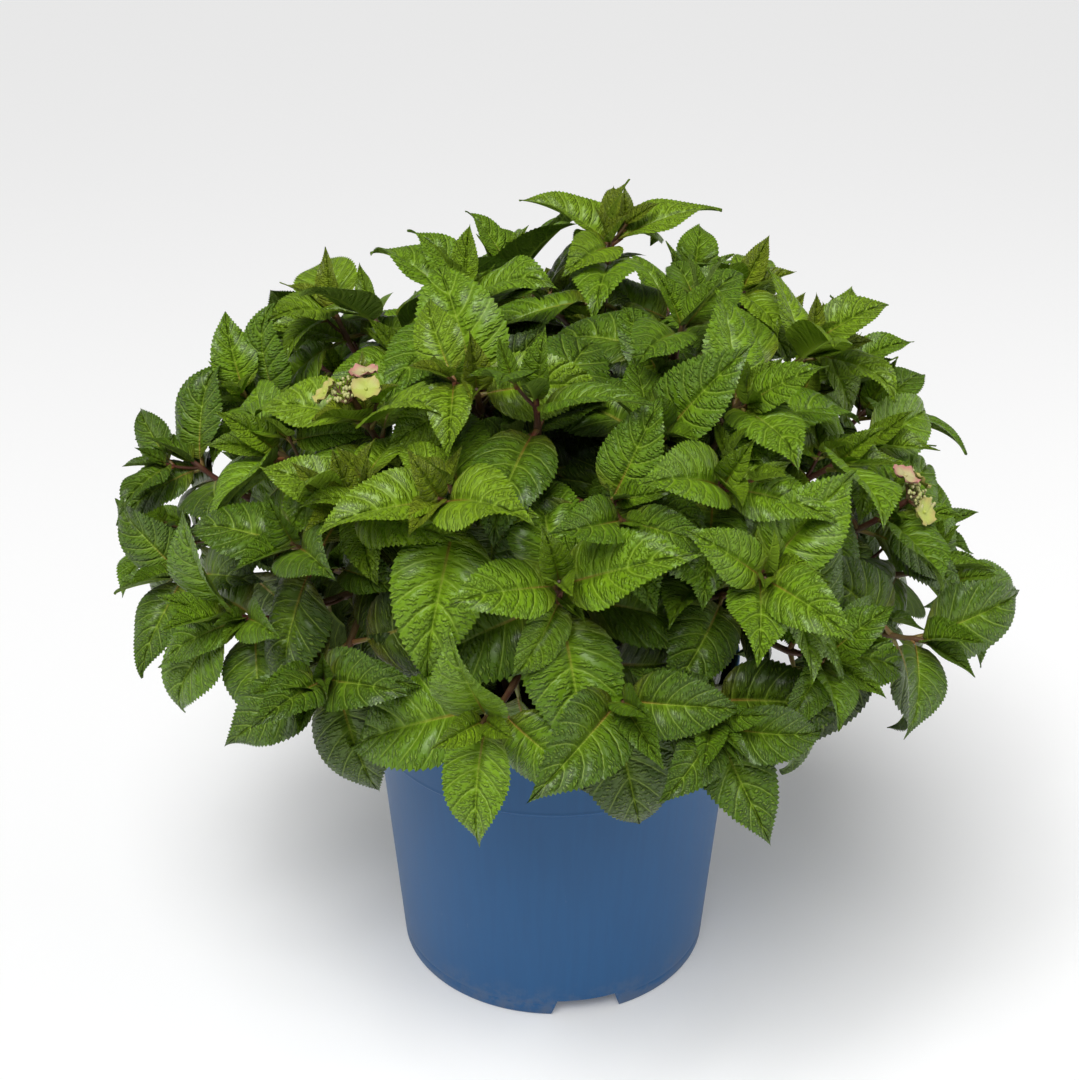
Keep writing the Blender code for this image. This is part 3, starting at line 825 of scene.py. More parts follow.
def stem_finish(name, young, old, scale, roughness):
    """Thin smooth rind: one colour that drifts into another, with pale pores."""
    finish = Finish(name)
    place = finish.place()
    drift = finish.noise(place, scale, 3.0, 0.6)
    pores = finish.node("TexVoronoi", {"feature": "F1"}, {"Vector": place, "Scale": 900.0}).rise(0.22, 0.1)
    ground = finish.mix(drift.rise(0.35, 0.65), young, old)
    finish.colour(finish.mix(pores * 0.35, ground, blended(young, (0.6, 0.5, 0.35), 0.5)))
    finish.roughness(drift * 0.2 + roughness)
    finish.bump(drift + pores * 0.3, 0.0003, 0.7)
    return finish.material


def bark_finish(name, look):
    """Tan bark that peels in long strips, darker and redder in the cracks."""
    finish = Finish(name)
    strips = finish.noise(finish.stretched((1, 1, 0.16)), 900.0, 4.0, 0.65)
    patches = finish.noise(finish.place(), 60.0, 3.0, 0.6)
    cracks = strips.rise(0.46, 0.38)
    ground = finish.mix(patches.rise(0.35, 0.65), look.bark_colour, look.bark_red)
    finish.colour(finish.mix(cracks * 0.7, ground, blended(look.bark_red, (0, 0, 0), 0.6)))
    finish.roughness(strips * 0.3 + 0.6)
    finish.bump(strips - cracks * 0.5, 0.0006, 0.8)
    return finish.material


def soil_finish(name, colour, fleck):
    """Dark peat with paler fibres and grit."""
    finish = Finish(name)
    place = finish.place()
    crumbs = finish.noise(place, 420.0, 4.0, 0.7)
    clods = finish.noise(place, 90.0, 3.0, 0.6)
    dark = blended(colour, (0, 0, 0), 0.6)
    ground = finish.mix(clods.rise(0.3, 0.7), dark, colour)
    finish.colour(finish.mix(crumbs.rise(0.60, 0.70), ground, fleck))
    finish.roughness(crumbs * 0.15 + 0.8)
    finish.bump(crumbs + clods, 0.0015, 0.9)
    return finish.material


def pot_finish(name, look):
    """Satin moulded plastic: faint upright streaks, fine grain, scuffs, and dust that dries near the foot."""
    finish = Finish(name, specular_ior_level=0.35, coat_weight=0.12, coat_roughness=0.3)
    place = finish.place()
    grain = finish.noise(place, 2600.0, 2.0, 0.5)
    streaks = finish.noise(finish.stretched((1, 1, 0.03)), 220.0, 3.0, 0.6)
    cloud = finish.noise(place, 18.0, 3.0, 0.55)
    slanted = finish.stretched((1, 1, 0.08), (0.5, 0.3, 0.2))
    scuffs = finish.noise(slanted, 520.0, 5.0, 0.75).rise(0.66, 0.74) * cloud.rise(0.45, 0.65)
    low = finish.part(place, 2).rise(0.03, 0.0)
    dust = low * finish.noise(place, 70.0, 4.0, 0.7).rise(0.42, 0.62)
    ground = finish.mix(streaks.rise(0.3, 0.7) * 0.55 + cloud * 0.4, look.plastic_shade, look.plastic)
    ground = finish.mix(scuffs * 0.16, ground, blended(look.plastic, (1, 1, 1), 0.5))
    finish.colour(finish.mix(dust * 0.22, ground, look.dust))
    finish.roughness(grain * 0.06 + streaks * 0.08 + scuffs * 0.15 + dust * 0.2 + (look.satin - 0.07))
    finish.bump(grain * 0.5 + streaks * 0.6, 0.00012, 0.5)
    return finish.material


def petal_finish(name, middle, edge):
    """A sepal's colour from its middle to its edge, with fine veins fanning out."""
    finish = Finish(name)
    across, out = finish.layout()
    fan = finish.noise(finish.vector(across * 26, out * 3), 1.0, 3.0, 0.5, "2D")
    body = finish.mix(out.rise(0.35, 1.0) * 0.9, middle, edge)
    finish.colour(finish.mix(fan.rise(0.55, 0.75) * 0.3, body, blended(middle, (0, 0, 0), 0.35)))
    finish.roughness(fan * 0.2 + 0.42)
    finish.bump(fan, 0.0003, 0.6)
    return finish.material


# ---------------------------------------------------------------- making meshes


def link_piece(name, mesh, finish, nodes):
    """Puts a finished mesh in the scene as a piece of the plant that stands for some of its nodes."""
    mesh.materials.append(finish)
    piece = bpy.data.objects.new(name, mesh)
    bpy.context.scene.collection.objects.link(piece)
    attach(piece, "root")
    if nodes:
        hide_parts(*nodes)
    return piece


def smoothed(mesh, angle):
    mesh.shade_smooth()
    mesh.set_sharp_from_angle(angle=math.radians(angle))
    return mesh


def mesh_of(name, made):
    """A mesh of a bmesh, which is then freed."""
    mesh = bpy.data.meshes.new(name)
    made.to_mesh(mesh)
    made.free()
    return mesh


def turned(profile, steps):
    """A bmesh of a profile of (radius, height), turned about the Z axis."""
    made = bmesh.new()
    corners = [made.verts.new((r, 0, z)) for r, z in profile]
    edges = [made.edges.new(ends) for ends in zip(corners, corners[1:])]
    bmesh.ops.spin(
        made, geom=corners + edges, cent=(0, 0, 0), axis=UP, angle=math.tau, steps=steps, use_merge=True
    )
    bmesh.ops.remove_doubles(made, verts=made.verts, dist=1e-6)
    bmesh.ops.recalc_face_normals(made, faces=made.faces)
    return made


def array_mesh(name, points, faces, layout):
    """A mesh from an array of points, one of triangles, and one of each corner's place on the layout."""
    mesh = bpy.data.meshes.new(name)
    mesh.vertices.add(len(points))
    mesh.vertices.foreach_set("co", points.astype(np.float32).ravel())
    mesh.loops.add(faces.size)
    mesh.loops.foreach_set("vertex_index", faces.astype(np.int32).ravel())
    mesh.polygons.add(len(faces))
    mesh.polygons.foreach_set("loop_start", np.arange(0, faces.size, 3, dtype=np.int32))
    mesh.update(calc_edges=True)
    corners = mesh.uv_layers.new(name=LAYOUT)
    corners.uv.foreach_set("vector", layout.astype(np.float32).ravel())
    return mesh


def rods_mesh(name, rods, sides):
    """A mesh of round rods, each a list of (point, radius), with closed ends."""
    curve = bpy.data.curves.new(name, "CURVE")
    curve.dimensions, curve.bevel_depth, curve.bevel_resolution = "3D", 1.0, sides // 2 - 2
    curve.use_fill_caps = True
    for rod in rods:
        spline = curve.splines.new("POLY")
        spline.points.add(len(rod) - 1)
        for corner, (point, radius) in zip(spline.points, rod):
            corner.co, corner.radius = (*point, 1), radius
    source = bpy.data.objects.new(name, curve)
    bpy.context.scene.collection.objects.link(source)
    mesh = bpy.data.meshes.new_from_object(source.evaluated_get(bpy.context.evaluated_depsgraph_get()))
    bpy.data.objects.remove(source)
    bpy.data.curves.remove(curve)
    mesh.name = name
    return mesh


def eased(points, steps):
    """A finer path through the same points, with its corners rounded."""
    fine = []
    for i, (a, b) in enumerate(zip(points, points[1:])):
        before = points[i - 1] if i else a * 2 - b
        after = points[i + 2] if i + 2 < len(points) else b * 2 - a
        pull_a, pull_b = (b - before) / 2, (after - a) / 2
        fine += hermite(a, pull_a, b, pull_b, steps)[:-1]
    return [*fine, points[-1]]


def finer_limb(limb, steps):
    """(point, radius, distance from the foot) at every step of a limb's finer path."""
    path = eased(limb.path, steps)
    radii = np.interp(np.arange(len(path)) / steps, np.arange(len(limb.radii)), limb.radii)
    runs = np.cumsum([0] + [(b - a).length for a, b in zip(path, path[1:])])
    return list(zip(path, radii, runs))


def bump_at(distance, breadth):
    """1 where a distance is nothing, falling away on both sides in a bell curve."""
    return math.exp(-((distance / breadth) ** 2))


# ---------------------------------------------------------------- leaves


def outline(share):
    """Half the blade's width at a share of its length, over its widest: ovate, with a drawn-out tip."""
    foot, taper = 0.62, 1.28
    widest = foot / (foot + taper)
    peak = widest**foot * (1 - widest) ** taper
    point = 1 - 0.3 * np.clip((share - 0.7) / 0.3, 0, 1)
    return np.power(share, foot) * np.power(1 - share, taper) / peak * point


class LeafPattern:
    """What leaves share: rows and columns, faces, and each corner's place on the layout."""

    def __init__(self, rows_per_vein, half_columns):
        self.count = count = VEIN_PAIRS * rows_per_vein
        columns = np.array([-h for h in half_columns[:0:-1]] + list(half_columns))
        self.wide = len(columns)
        across, rows = np.meshgrid(columns, np.arange(1, count) / count)
        teeth = (np.tile(np.arange(count), 2) + TOOTH_PLACE) / count
        self.across = np.concatenate([across.ravel(), [0, 0], np.repeat([-1.0, 1.0], count)])
        self.rows = np.concatenate([rows.ravel(), [0, 1], teeth])
        is_tooth = np.arange(len(self.rows)) >= across.size + 2
        sweep = VEIN_SWEEP * np.sin(np.pi * self.rows)
        reach = np.abs(self.across)
        width = outline(np.clip(self.rows + sweep / 2, 0, 1))
        depth = TOOTH_DEPTH * np.minimum(1, width * 4)
        width = width + np.where(is_tooth, depth, 0) - np.where((reach == 1) & ~is_tooth, depth * 0.4, 0)
        lean = np.where(is_tooth, TOOTH_LEAN * (1 - self.rows), 0)
        self.share = np.clip(self.rows + sweep * (vein_run(reach) - 0.5) + lean, 0, 1)
        self.half = self.across * width
        bulge = np.abs(np.sin(np.pi * self.rows * VEIN_PAIRS))
        self.quilt = bulge * (1 - (1 - reach) ** 3) * (1 - reach**4) * np.sin(np.pi * self.rows) ** 0.4
        self.groove = (reach == 0) * np.sin(np.pi * np.clip(self.rows, 0, 1))
        self.inner = np.flatnonzero((reach < 1) & (self.rows > 0) & (self.rows < 1) & ~is_tooth)
        top = self.upper_triangles()
        beneath = np.arange(len(self.rows))
        beneath[self.inner] = len(self.rows) + np.arange(len(self.inner))
        self.triangles = np.concatenate([top, beneath[top[:, ::-1]]])
        u, v = 0.25 + 0.24 * self.across, 0.01 + 0.98 * self.rows
        upper = np.stack([u, v], 1)[top]
        lower = np.stack([u + 0.5, v], 1)[top[:, ::-1]]
        self.layout = np.concatenate([upper, lower]).reshape(-1, 2)

    def upper_triangles(self):
        """The triangles of the upper side, anticlockwise from above."""
        wide, count = self.wide, self.count
        base = (count - 1) * wide
        tip, left, right = base + 1, base + 2, base + 2 + count
        triangles = []
        for i in range(count):
            near = [(i - 1) * wide + c for c in range(wide)] if i else [base] * wide
            far = [i * wide + c for c in range(wide)] if i < count - 1 else [tip] * wide
            for c in range(wide - 1):
                ring = [near[c], near[c + 1], far[c + 1], far[c]]
                if c == 0:
                    ring = [near[1], far[1], far[0], left + i, near[0]]
                elif c == wide - 2:
                    ring = [far[c], near[c], near[c + 1], right + i, far[c + 1]]
                ring = [corner for k, corner in enumerate(ring) if corner != ring[k - 1]]
                triangles += [(ring[0], b, c) for b, c in zip(ring[1:], ring[2:])]
        return np.array(triangles)


def leaf_points(leaf, pattern, look, rng):
    """The points of one leaf: folded along its midrib, quilted, waved at its margins and bent at its tip."""
    age = leaf.pair
    length, half_width = leaf.length, leaf.width / 2 * look.slimness
    stalk = STALK_SHARE[age]
    fold = math.tan(math.radians(rng.uniform(*FOLDS[age])))
    cup = rng.uniform(*CUPS[age]) * fold
    hook = math.radians(rng.uniform(*HOOKS[age]))
    twist = math.radians(rng.uniform(-TWIST, TWIST))
    sway = rng.uniform(-SWAY, SWAY)
    waves = rng.uniform(0.2, 1.0) * look.wave * length
    phases = rng.uniform(0, math.tau), rng.uniform(0, math.tau)

    # The midrib, by adding up small steps
    fine = np.linspace(0, 1, BEND_STEPS + 1)
    hooked = np.clip((fine - HOOK_START) / (1 - HOOK_START), 0, 1)
    bend = max(leaf.recurve, 1e-4) * fine + hook * hooked**2
    out, back = (
        np.concatenate([[0], np.cumsum((wave[1:] + wave[:-1]) / 2)]) / BEND_STEPS * length
        for wave in (np.cos(bend), np.sin(bend))
    )

    share = stalk + (1 - stalk) * pattern.share
    across = pattern.half * half_width
    reach = np.abs(pattern.across)
    height = np.abs(across) * fold * (1 - 0.35 * share) - cup * across**2 / half_width
    height += look.quilting * length * pattern.quilt
    turns = np.where(across < 0, phases[0], phases[1])
    height += waves * np.sin(math.tau * WAVES * share + turns) * reach**2
    height -= pattern.groove * GROOVE_DEPTH

    under = pattern.inner
    rib = (np.abs(pattern.across[under]) < 1e-6) * np.cos(np.pi / 2 * pattern.rows[under])
    lower = height[under] - BLADE_THICKNESS - rib * RIB_DEPTH * min(1, length / 0.06)
    share = np.concatenate([share, share[under]])
    across = np.concatenate([across, across[under]])
    height = np.concatenate([height, lower])

    along, face, side = (np.array(v) for v in (leaf.along, leaf.face, leaf.side))
    angle = np.interp(share, fine, bend)
    bent_face = face * np.cos(angle)[:, None] + along * np.sin(angle)[:, None]
    roll = (twist * share)[:, None]
    rolled_side = side * np.cos(roll) + bent_face * np.sin(roll)
    rolled_face = bent_face * np.cos(roll) - side * np.sin(roll)
    spine = np.array(leaf.root) + np.interp(share, fine, out)[:, None] * along
    spine = spine - np.interp(share, fine, back)[:, None] * face
    spine = spine + side * (sway * length * share**2)[:, None]
    return spine + rolled_side * across[:, None] + rolled_face * height[:, None]


def tint_of(leaf, mood):
    """Which tint a leaf takes: its spray's mood and its age, youngest first."""
    return TINTS[min(max(leaf.pair + 1 + mood, 0), len(TINTS) - 1)]


# ---------------------------------------------------------------- sizes and colours


def colour_property(name, description, default):
    return FloatVectorProperty(
        name=name, description=description, default=default, subtype="COLOR", size=3, min=0.0, max=1.0
    )


def length_property(name, description, default):
    return FloatProperty(name=name, description=description, default=default, unit="LENGTH", precision=4)


def share_property(name, description, default):
    return FloatProperty(name=name, description=description, default=default, subtype="FACTOR")


def strength_property(name, description, default):
    return FloatProperty(name=name, description=description, default=default, min=0.0)


class LeafSettings(bpy.types.PropertyGroup):
    """Looks of the leaves."""

    bronze: colour_property("Bronze", "Tint of the youngest leaves of some sprays", (0.245, 0.330, 0.011))
    young: colour_property("Young", "Tint of the leaves at the shoots' tips", (0.225, 0.380, 0.010))
    bright: colour_property("Bright", "Tint of the brightest sprays", (0.182, 0.338, 0.009))
    fresh: colour_property("Fresh", "Tint of the leaves below the tips", (0.125, 0.247, 0.007))
    grown: colour_property("Grown", "Tint of grown leaves", (0.083, 0.168, 0.006))
    deep: colour_property("Deep", "Tint of old leaves", (0.055, 0.111, 0.005))
    dark: colour_property("Dark", "Tint of the oldest leaves", (0.038, 0.073, 0.005))
    glow_colour: colour_property("Glow", "Colour by the midrib and under young blades", (0.34, 0.54, 0.02))
    # Painted highlight: this colour is also painted along the margin and on the pucker crests
    vein_and_highlight_colour: colour_property("Veins", "Colour of the veins and the margin", (0.33, 0.45, 0.055))
    foot_colour: colour_property("Foot", "Colour that the foot of the blade leans to", (0.22, 0.16, 0.012))
    stalk_colour: colour_property("Stalk", "Colour of the midrib next to the stalk", (0.32, 0.085, 0.03))
    under_colour: colour_property("Underside", "Colour that the underside leans to", (0.150, 0.220, 0.045))
    slimness: share_property("Slimness", "Share of its allotted width that a blade fills", 0.9)
    quilting: share_property("Quilting", "Rise between lateral veins, as a share of the length", 0.017)
    wave: share_property("Wave", "Wave of the margin, as a share of the length", 0.035)
    pucker: length_property("Puckers", "Depth of the small pillows between the veins", 0.0015)
    relief: share_property("Relief", "Strength of the puckers", 1.0)
    gloss: share_property("Roughness", "Roughness of the upper side", 0.40)
    polish: share_property("Polish", "Weight of the thin gloss on top", 0.18)


class StemSettings(bpy.types.PropertyGroup):
    """Looks of stalks, shoots and canes."""

    sides: IntProperty(name="Sides", description="Sides of a shoot", default=8, min=4)
    stalk_young: colour_property("Leaf stalk", "Colour of the leaf stalks", (0.22, 0.25, 0.04))
    stalk_old: colour_property("Leaf stalk, red", "Colour where leaf stalks redden", (0.22, 0.065, 0.03))
    shoot_young: colour_property("Shoot", "Colour of the shoots", (0.11, 0.070, 0.022))
    shoot_old: colour_property("Shoot, red", "Colour where shoots redden", (0.10, 0.024, 0.016))
    bark_colour: colour_property("Bark", "Colour of the canes' bark", (0.17, 0.095, 0.05))
    bark_red: colour_property("Bark, red", "Colour of young bark on the canes", (0.11, 0.036, 0.022))
    relief: length_property("Relief", "Depth of the bark's ridges", 0.00035)


class PotSettings(bpy.types.PropertyGroup):
    """Sizes and looks of the pot."""

    height: length_property("Height", "Height of the rim above the underside", POT_HEIGHT)
    rim_radius: length_property("Rim radius", "Outer radius of the rim", RIM_RADIUS)
    lip: length_property("Lip", "How far the rolled lip stands out", 0.0009)
    segments: IntProperty(name="Segments", description="Steps round the pot", default=192, min=24)
    plastic: colour_property("Plastic", "Colour of the plastic", (0.009, 0.096, 0.262))
    plastic_shade: colour_property("Plastic, shade", "Colour of its darker streaks", (0.007, 0.083, 0.232))
    dust: colour_property("Dust", "Colour of the dust near the foot", (0.30, 0.27, 0.22))
    satin: share_property("Roughness", "Roughness of the plastic", 0.46)


class SoilSettings(bpy.types.PropertyGroup):
    """Looks of the root ball."""

    peat: colour_property("Peat", "Colour of the peat", (0.030, 0.018, 0.011))
    fleck: colour_property("Flecks", "Colour of the fibres", (0.16, 0.10, 0.055))
    crumble: length_property("Crumble", "Height of the crumbs", 0.0030)
    chips: IntProperty(name="Chips", description="Bark chips on the root ball", default=260, min=0)


class FlowerSettings(bpy.types.PropertyGroup):
    """Looks of the flower heads."""

    bud: colour_property("Bud", "Colour of the buds", (0.52, 0.50, 0.24))
    stalk: colour_property("Stalk", "Colour of the fine stalks", (0.13, 0.04, 0.02))
    lime: colour_property("Lime floret", "Middle of a young floret", (0.46, 0.52, 0.10))
    cream: colour_property("Cream floret", "Middle of a fading floret", (0.55, 0.50, 0.24))
    rose: colour_property("Rose", "Edge of a coloured floret", (0.55, 0.20, 0.20))


class StageSettings(bpy.types.PropertyGroup):
    """Camera and light."""

    lens: FloatProperty(
        name="Lens", description="Focal length in millimetres", default=SENSOR_WIDTH * LENS_SHARE
    )
    camera_place: FloatVectorProperty(
        name="Camera",
        description="Where the camera stands",
        default=(-0.0093, -0.8916, 0.697),
        subtype="TRANSLATION",
    )
    tilt: FloatProperty(
        name="Tilt",
        description="The camera's turn up from straight down",
        default=math.radians(90 - 25.04),
        subtype="ANGLE",
    )
    floor_size: length_property("Floor size", "Half the floor's side", 60.0)
    floor_colour: colour_property("Floor", "Colour of the floor", (0.90, 0.90, 0.90))
    key: strength_property("Key", "Strength of the soft light from above", 2.5)
    softbox: strength_property("Softbox", "Power of the small softbox that glints", 5.0)
    left: strength_property("Left", "Power of the softbox on the left", 4.5)
    right: strength_property("Right", "Power of the softbox on the right", 10.5)
    fill: strength_property("Fill", "Strength of the light from all round", 0.11)
    glow: strength_property("Floor glow", "Light that the floor gives by itself", 0.12)


# ---------------------------------------------------------------- the pieces


class HYDRANGEA_OT_pot(bpy.types.Operator):
    """Turns the pot: a tapering body, a collar over a thin bead, a rolled lip, and a notched foot"""

    bl_idname = "hydrangea.pot"
    bl_label = "Pot"

    def execute(self, context):
        look = context.scene.hydrangea_pot
        height, rim, lip = look.height, look.rim_radius, look.lip
        shoulder = SHOULDER_RADIUS
        inner = FLOOR_THICKNESS + 0.0055
        profile = [
            (0, 0.0004),
            (BASE_RADIUS - 0.010, 0.0004),
            (BASE_RADIUS - 0.0085, 0),
            (BASE_RADIUS - 0.0016, 0),
            (BASE_RADIUS - 0.0006, 0.0005),
            (body_radius(0.0016), 0.0016),
            (body_radius(0.0085), 0.0085),
            (body_radius(0.0090) - 0.0002, 0.0090),
            *((body_radius(z), z) for z in (0.0095, 0.0119, 0.0126, 0.06, 0.11, 0.150, 0.1565)),
            (shoulder + 0.0007, 0.1573),
            (shoulder + 0.0013, 0.1580),
            (shoulder + 0.0015, 0.1588),
            (shoulder + 0.0012, 0.1596),
            *((collar_radius(z), z) for z in (0.1604, 0.185, height - 0.006)),
            (collar_radius(height - 0.0046) + lip * 0.4, height - 0.0046),
            (rim + lip * 0.8, height - 0.0032),
            (rim + lip, height - 0.0018),
            (rim + lip * 0.7, height - 0.0006),
            (rim - 0.0002, height),
            (rim - WALL + 0.0004, height - 0.0001),
            (rim - WALL - 0.0001, height - 0.0008),
            (rim - WALL - 0.0002, height - 0.006),
            (shoulder + COLLAR_STEP - WALL, SHOULDER_HEIGHT + COLLAR_STEP + WALL),
            (shoulder - WALL, SHOULDER_HEIGHT),
            (body_radius(inner) - WALL, inner),
            (body_radius(FLOOR_THICKNESS) - WALL - 0.003, FLOOR_THICKNESS),
            (0, FLOOR_THICKNESS),
        ]
        mesh = mesh_of("pot_shell", turned(profile, look.segments))
        pot = link_piece("pot_shell", mesh, pot_finish("satin_blue_plastic", look), ["pot"])
        cut_foot(pot)
        smoothed(pot.data, 40)
        return {"FINISHED"}


def cut_foot(pot):
    """Cuts the notches, whose sides lean, and the drains out of the pot's foot."""
    group = bpy.data.collections.new("foot_cutters")
    bpy.context.scene.collection.children.link(group)
    below, beyond = 0.002, 0.005  # how far a notch's cutter reaches under the pot and out of it
    tall, deep = NOTCH_HEIGHT + below, NOTCH_DEPTH + beyond
    size = dict(radius1=DRAIN_RADIUS, radius2=DRAIN_RADIUS, depth=4 * FLOOR_THICKNESS)
    for i in range(NOTCHES):
        turn = Matrix.Rotation(math.radians(FIRST_NOTCH + 360 * i / NOTCHES), 3, "Z")
        notch = bmesh.new()
        bmesh.ops.create_cube(notch, size=1)
        top = [v for v in notch.verts if v.co.z > 0]
        bmesh.ops.scale(notch, verts=notch.verts, vec=(NOTCH_WIDTH + NOTCH_SPREAD, deep, tall))
        bmesh.ops.scale(notch, verts=top, vec=(NOTCH_TAPER, 1, 1))
        place = 0, deep / 2 - beyond - BASE_RADIUS, tall / 2 - below
        bmesh.ops.translate(notch, verts=notch.verts, vec=place)
        drain = bmesh.new()
        bmesh.ops.create_cone(drain, cap_ends=True, segments=32, **size)
        bmesh.ops.translate(drain, verts=drain.verts, vec=(0, NOTCH_DEPTH * 0.6 - BASE_RADIUS, 0))
        for name, cutter in (("notch", notch), ("drain", drain)):
            bmesh.ops.rotate(cutter, verts=cutter.verts, matrix=turn)
            group.objects.link(bpy.data.objects.new(name, mesh_of(name, cutter)))
    boolean = pot.modifiers.new("foot", "BOOLEAN")
    boolean.operation, boolean.operand_type, boolean.collection = "DIFFERENCE", "COLLECTION", group
    bpy.context.view_layer.objects.active = pot
    bpy.ops.object.modifier_apply(modifier=boolean.name)
    for cutter in list(group.objects):
        bpy.data.objects.remove(cutter)
    bpy.data.collections.remove(group)


class HYDRANGEA_OT_root_ball(bpy.types.Operator):
    """Fills the pot with peat that is crumbled on top and strewn with chips of bark"""

    bl_idname = "hydrangea.root_ball"
    bl_label = "Root Ball"

    def execute(self, context):
        look = context.scene.hydrangea_soil
        inset = WALL + 2 * GAP
        edge = collar_radius(SOIL_HEIGHT) - inset
        profile = [
            (0, FLOOR_THICKNESS + GAP),
            (body_radius(FLOOR_THICKNESS) - inset - 0.004, FLOOR_THICKNESS + GAP),
            (body_radius(0.018) - inset, 0.018),
            (SHOULDER_RADIUS - inset, SHOULDER_HEIGHT),
            (edge, SOIL_HEIGHT - 0.002),
        ]
        profile += [(edge * (1 - i / 40), SOIL_HEIGHT + SOIL_DOME * i / 40) for i in range(1, 41)]
        made = turned(profile, 120)
        for vertex in made.verts:
            if vertex.co.z > SOIL_HEIGHT - 0.001:
                spot = vertex.co * 150
                crumbs = noise.noise(spot) * 0.6 + noise.noise(spot * 2.7) * 0.4 - 0.25
                vertex.co.z += look.crumble * crumbs
        mesh = smoothed(mesh_of("root_ball", made), 60)
        link_piece("root_ball", mesh, soil_finish("peat", look.peat, look.fleck), ["soil"])
        finish = soil_finish("bark_chips", blended(look.peat, look.fleck, 0.45), look.fleck)
        link_piece("bark_chips", chips_mesh(look.chips, edge * 0.96), finish, [])
        return {"FINISHED"}


def chips_mesh(count, reach):
    """Splinters of bark, strewn over the root ball out to a reach."""
    chips, rng = bmesh.new(), random.Random(SEED + 3)
    for _ in range(count):
        out, around = math.sqrt(rng.random()) * reach, rng.uniform(0, math.tau)
        size = rng.uniform(0.0015, 0.0055)
        chip = bmesh.ops.create_cube(chips, size=1)["verts"]
        shape = Vector((1, rng.uniform(0.3, 0.7), rng.uniform(0.15, 0.4))) * size
        bmesh.ops.scale(chips, verts=chip, vec=shape)
        for vertex in chip:
            vertex.co *= rng.uniform(0.7, 1.25)
        turn = Matrix.Rotation(rng.uniform(0, math.tau), 4, "Z")
        turn = turn @ Matrix.Rotation(rng.uniform(-0.6, 0.6), 4, "X")
        rest = Vector((out * math.cos(around), out * math.sin(around), soil_surface(out) + size * 0.08))
        bmesh.ops.transform(chips, matrix=Matrix.Translation(rest) @ turn, verts=chip)
    return mesh_of("bark_chips", chips)


class HYDRANGEA_OT_canes(bpy.types.Operator):
    """Grows the canes with ridged bark and raised rings where old leaves stood"""

    bl_idname = "hydrangea.canes"
    bl_label = "Canes"

    def execute(self, context):
        look = context.scene.hydrangea_stems
        masses = grown_plant()
        rods = []
        for cane in (mass.cane for mass in masses):
            rod = []
            for point, radius, run in finer_limb(cane, CANE_STEPS):
                ring = bump_at((run + SCAR_START) % SCAR_STEP - SCAR_STEP / 2, SCAR_BREADTH)
                rod.append((point, radius * (1 + SCAR_RISE * ring)))
            rods.append([*rod, (cane.path[-1] + cane.axis * 0.0015, cane.radii[-1] * 0.9)])
        mesh = rods_mesh("canes", rods, CANE_ROUND)
        moves = []
        for vertex in mesh.vertices:
            spot = Vector((vertex.co.x * 700, vertex.co.y * 700, vertex.co.z * 110))
            moves.append(vertex.co + vertex.normal * look.relief * (noise.noise(spot) - 0.35))
        for vertex, moved in zip(mesh.vertices, moves):
            vertex.co = moved
        nodes = [f"cane_{mass.name}" for mass in masses]
        link_piece("canes", smoothed(mesh, 70), bark_finish("cane_bark", look), nodes)
        return {"FINISHED"}


class HYDRANGEA_OT_shoots(bpy.types.Operator):
    """Grows the green and red shoots, swollen at each pair of leaves, and the stalks of the leaves"""

    bl_idname = "hydrangea.shoots"
    bl_label = "Shoots and Stalks"

    def execute(self, context):
        look = context.scene.hydrangea_stems
        masses = grown_plant()
        shoots, stalks = [], []
        for mass in masses:
            for number, shoot in enumerate(mass.shoots):
                rod = []
                for point, radius, run in finer_limb(shoot, SHOOT_STEPS):
                    back = shoot.length - run
                    swell = sum(bump_at(back - pair[0], NODE_BREADTH) for pair in PAIRS[1:])
                    rod.append((point, radius * (1 + NODE_RISE * swell)))
                if FLOWERING.get(mass.name) != number:
                    rod.append((shoot.path[-1] + shoot.axis * 0.002, shoot.radii[-1] * 0.5))
                shoots.append(rod)
            shoots += [[step[:2] for step in finer_limb(twig, TWIG_STEPS)] for twig in mass.twigs]
            stalks += [stalk_rod(leaf) for leaf in mass.leaves]
        nodes = [f"foliage_{mass.name}" for mass in masses]
        mesh = smoothed(rods_mesh("shoots", shoots, look.sides), 70)
        rind = stem_finish("shoot_rind", look.shoot_young, look.shoot_old, 30.0, 0.42)
        link_piece("shoots", mesh, rind, nodes)
        mesh = smoothed(rods_mesh("leaf_stalks", stalks, STALK_ROUND), 70)
        rind = stem_finish("stalk_rind", look.stalk_young, look.stalk_old, 45.0, 0.38)
        link_piece("leaf_stalks", mesh, rind, nodes)
        return {"FINISHED"}


def stalk_rod(leaf):
    """A leaf's stalk, from inside its shoot to just under the blade."""
    grown = min(1, leaf.length / 0.07)
    rod, steps = [], 5 if grown > 0.8 else 3
    for i, radius in enumerate(tapered(steps, *STALK_RADII)):
        point, facing = leaf.midrib((STALK_SHARE[leaf.pair] + STALK_OVERLAP) * i / steps)
        thick = radius * grown
        rod.append((point - facing * (thick * 0.55 + 0.0003), thick))
    return rod


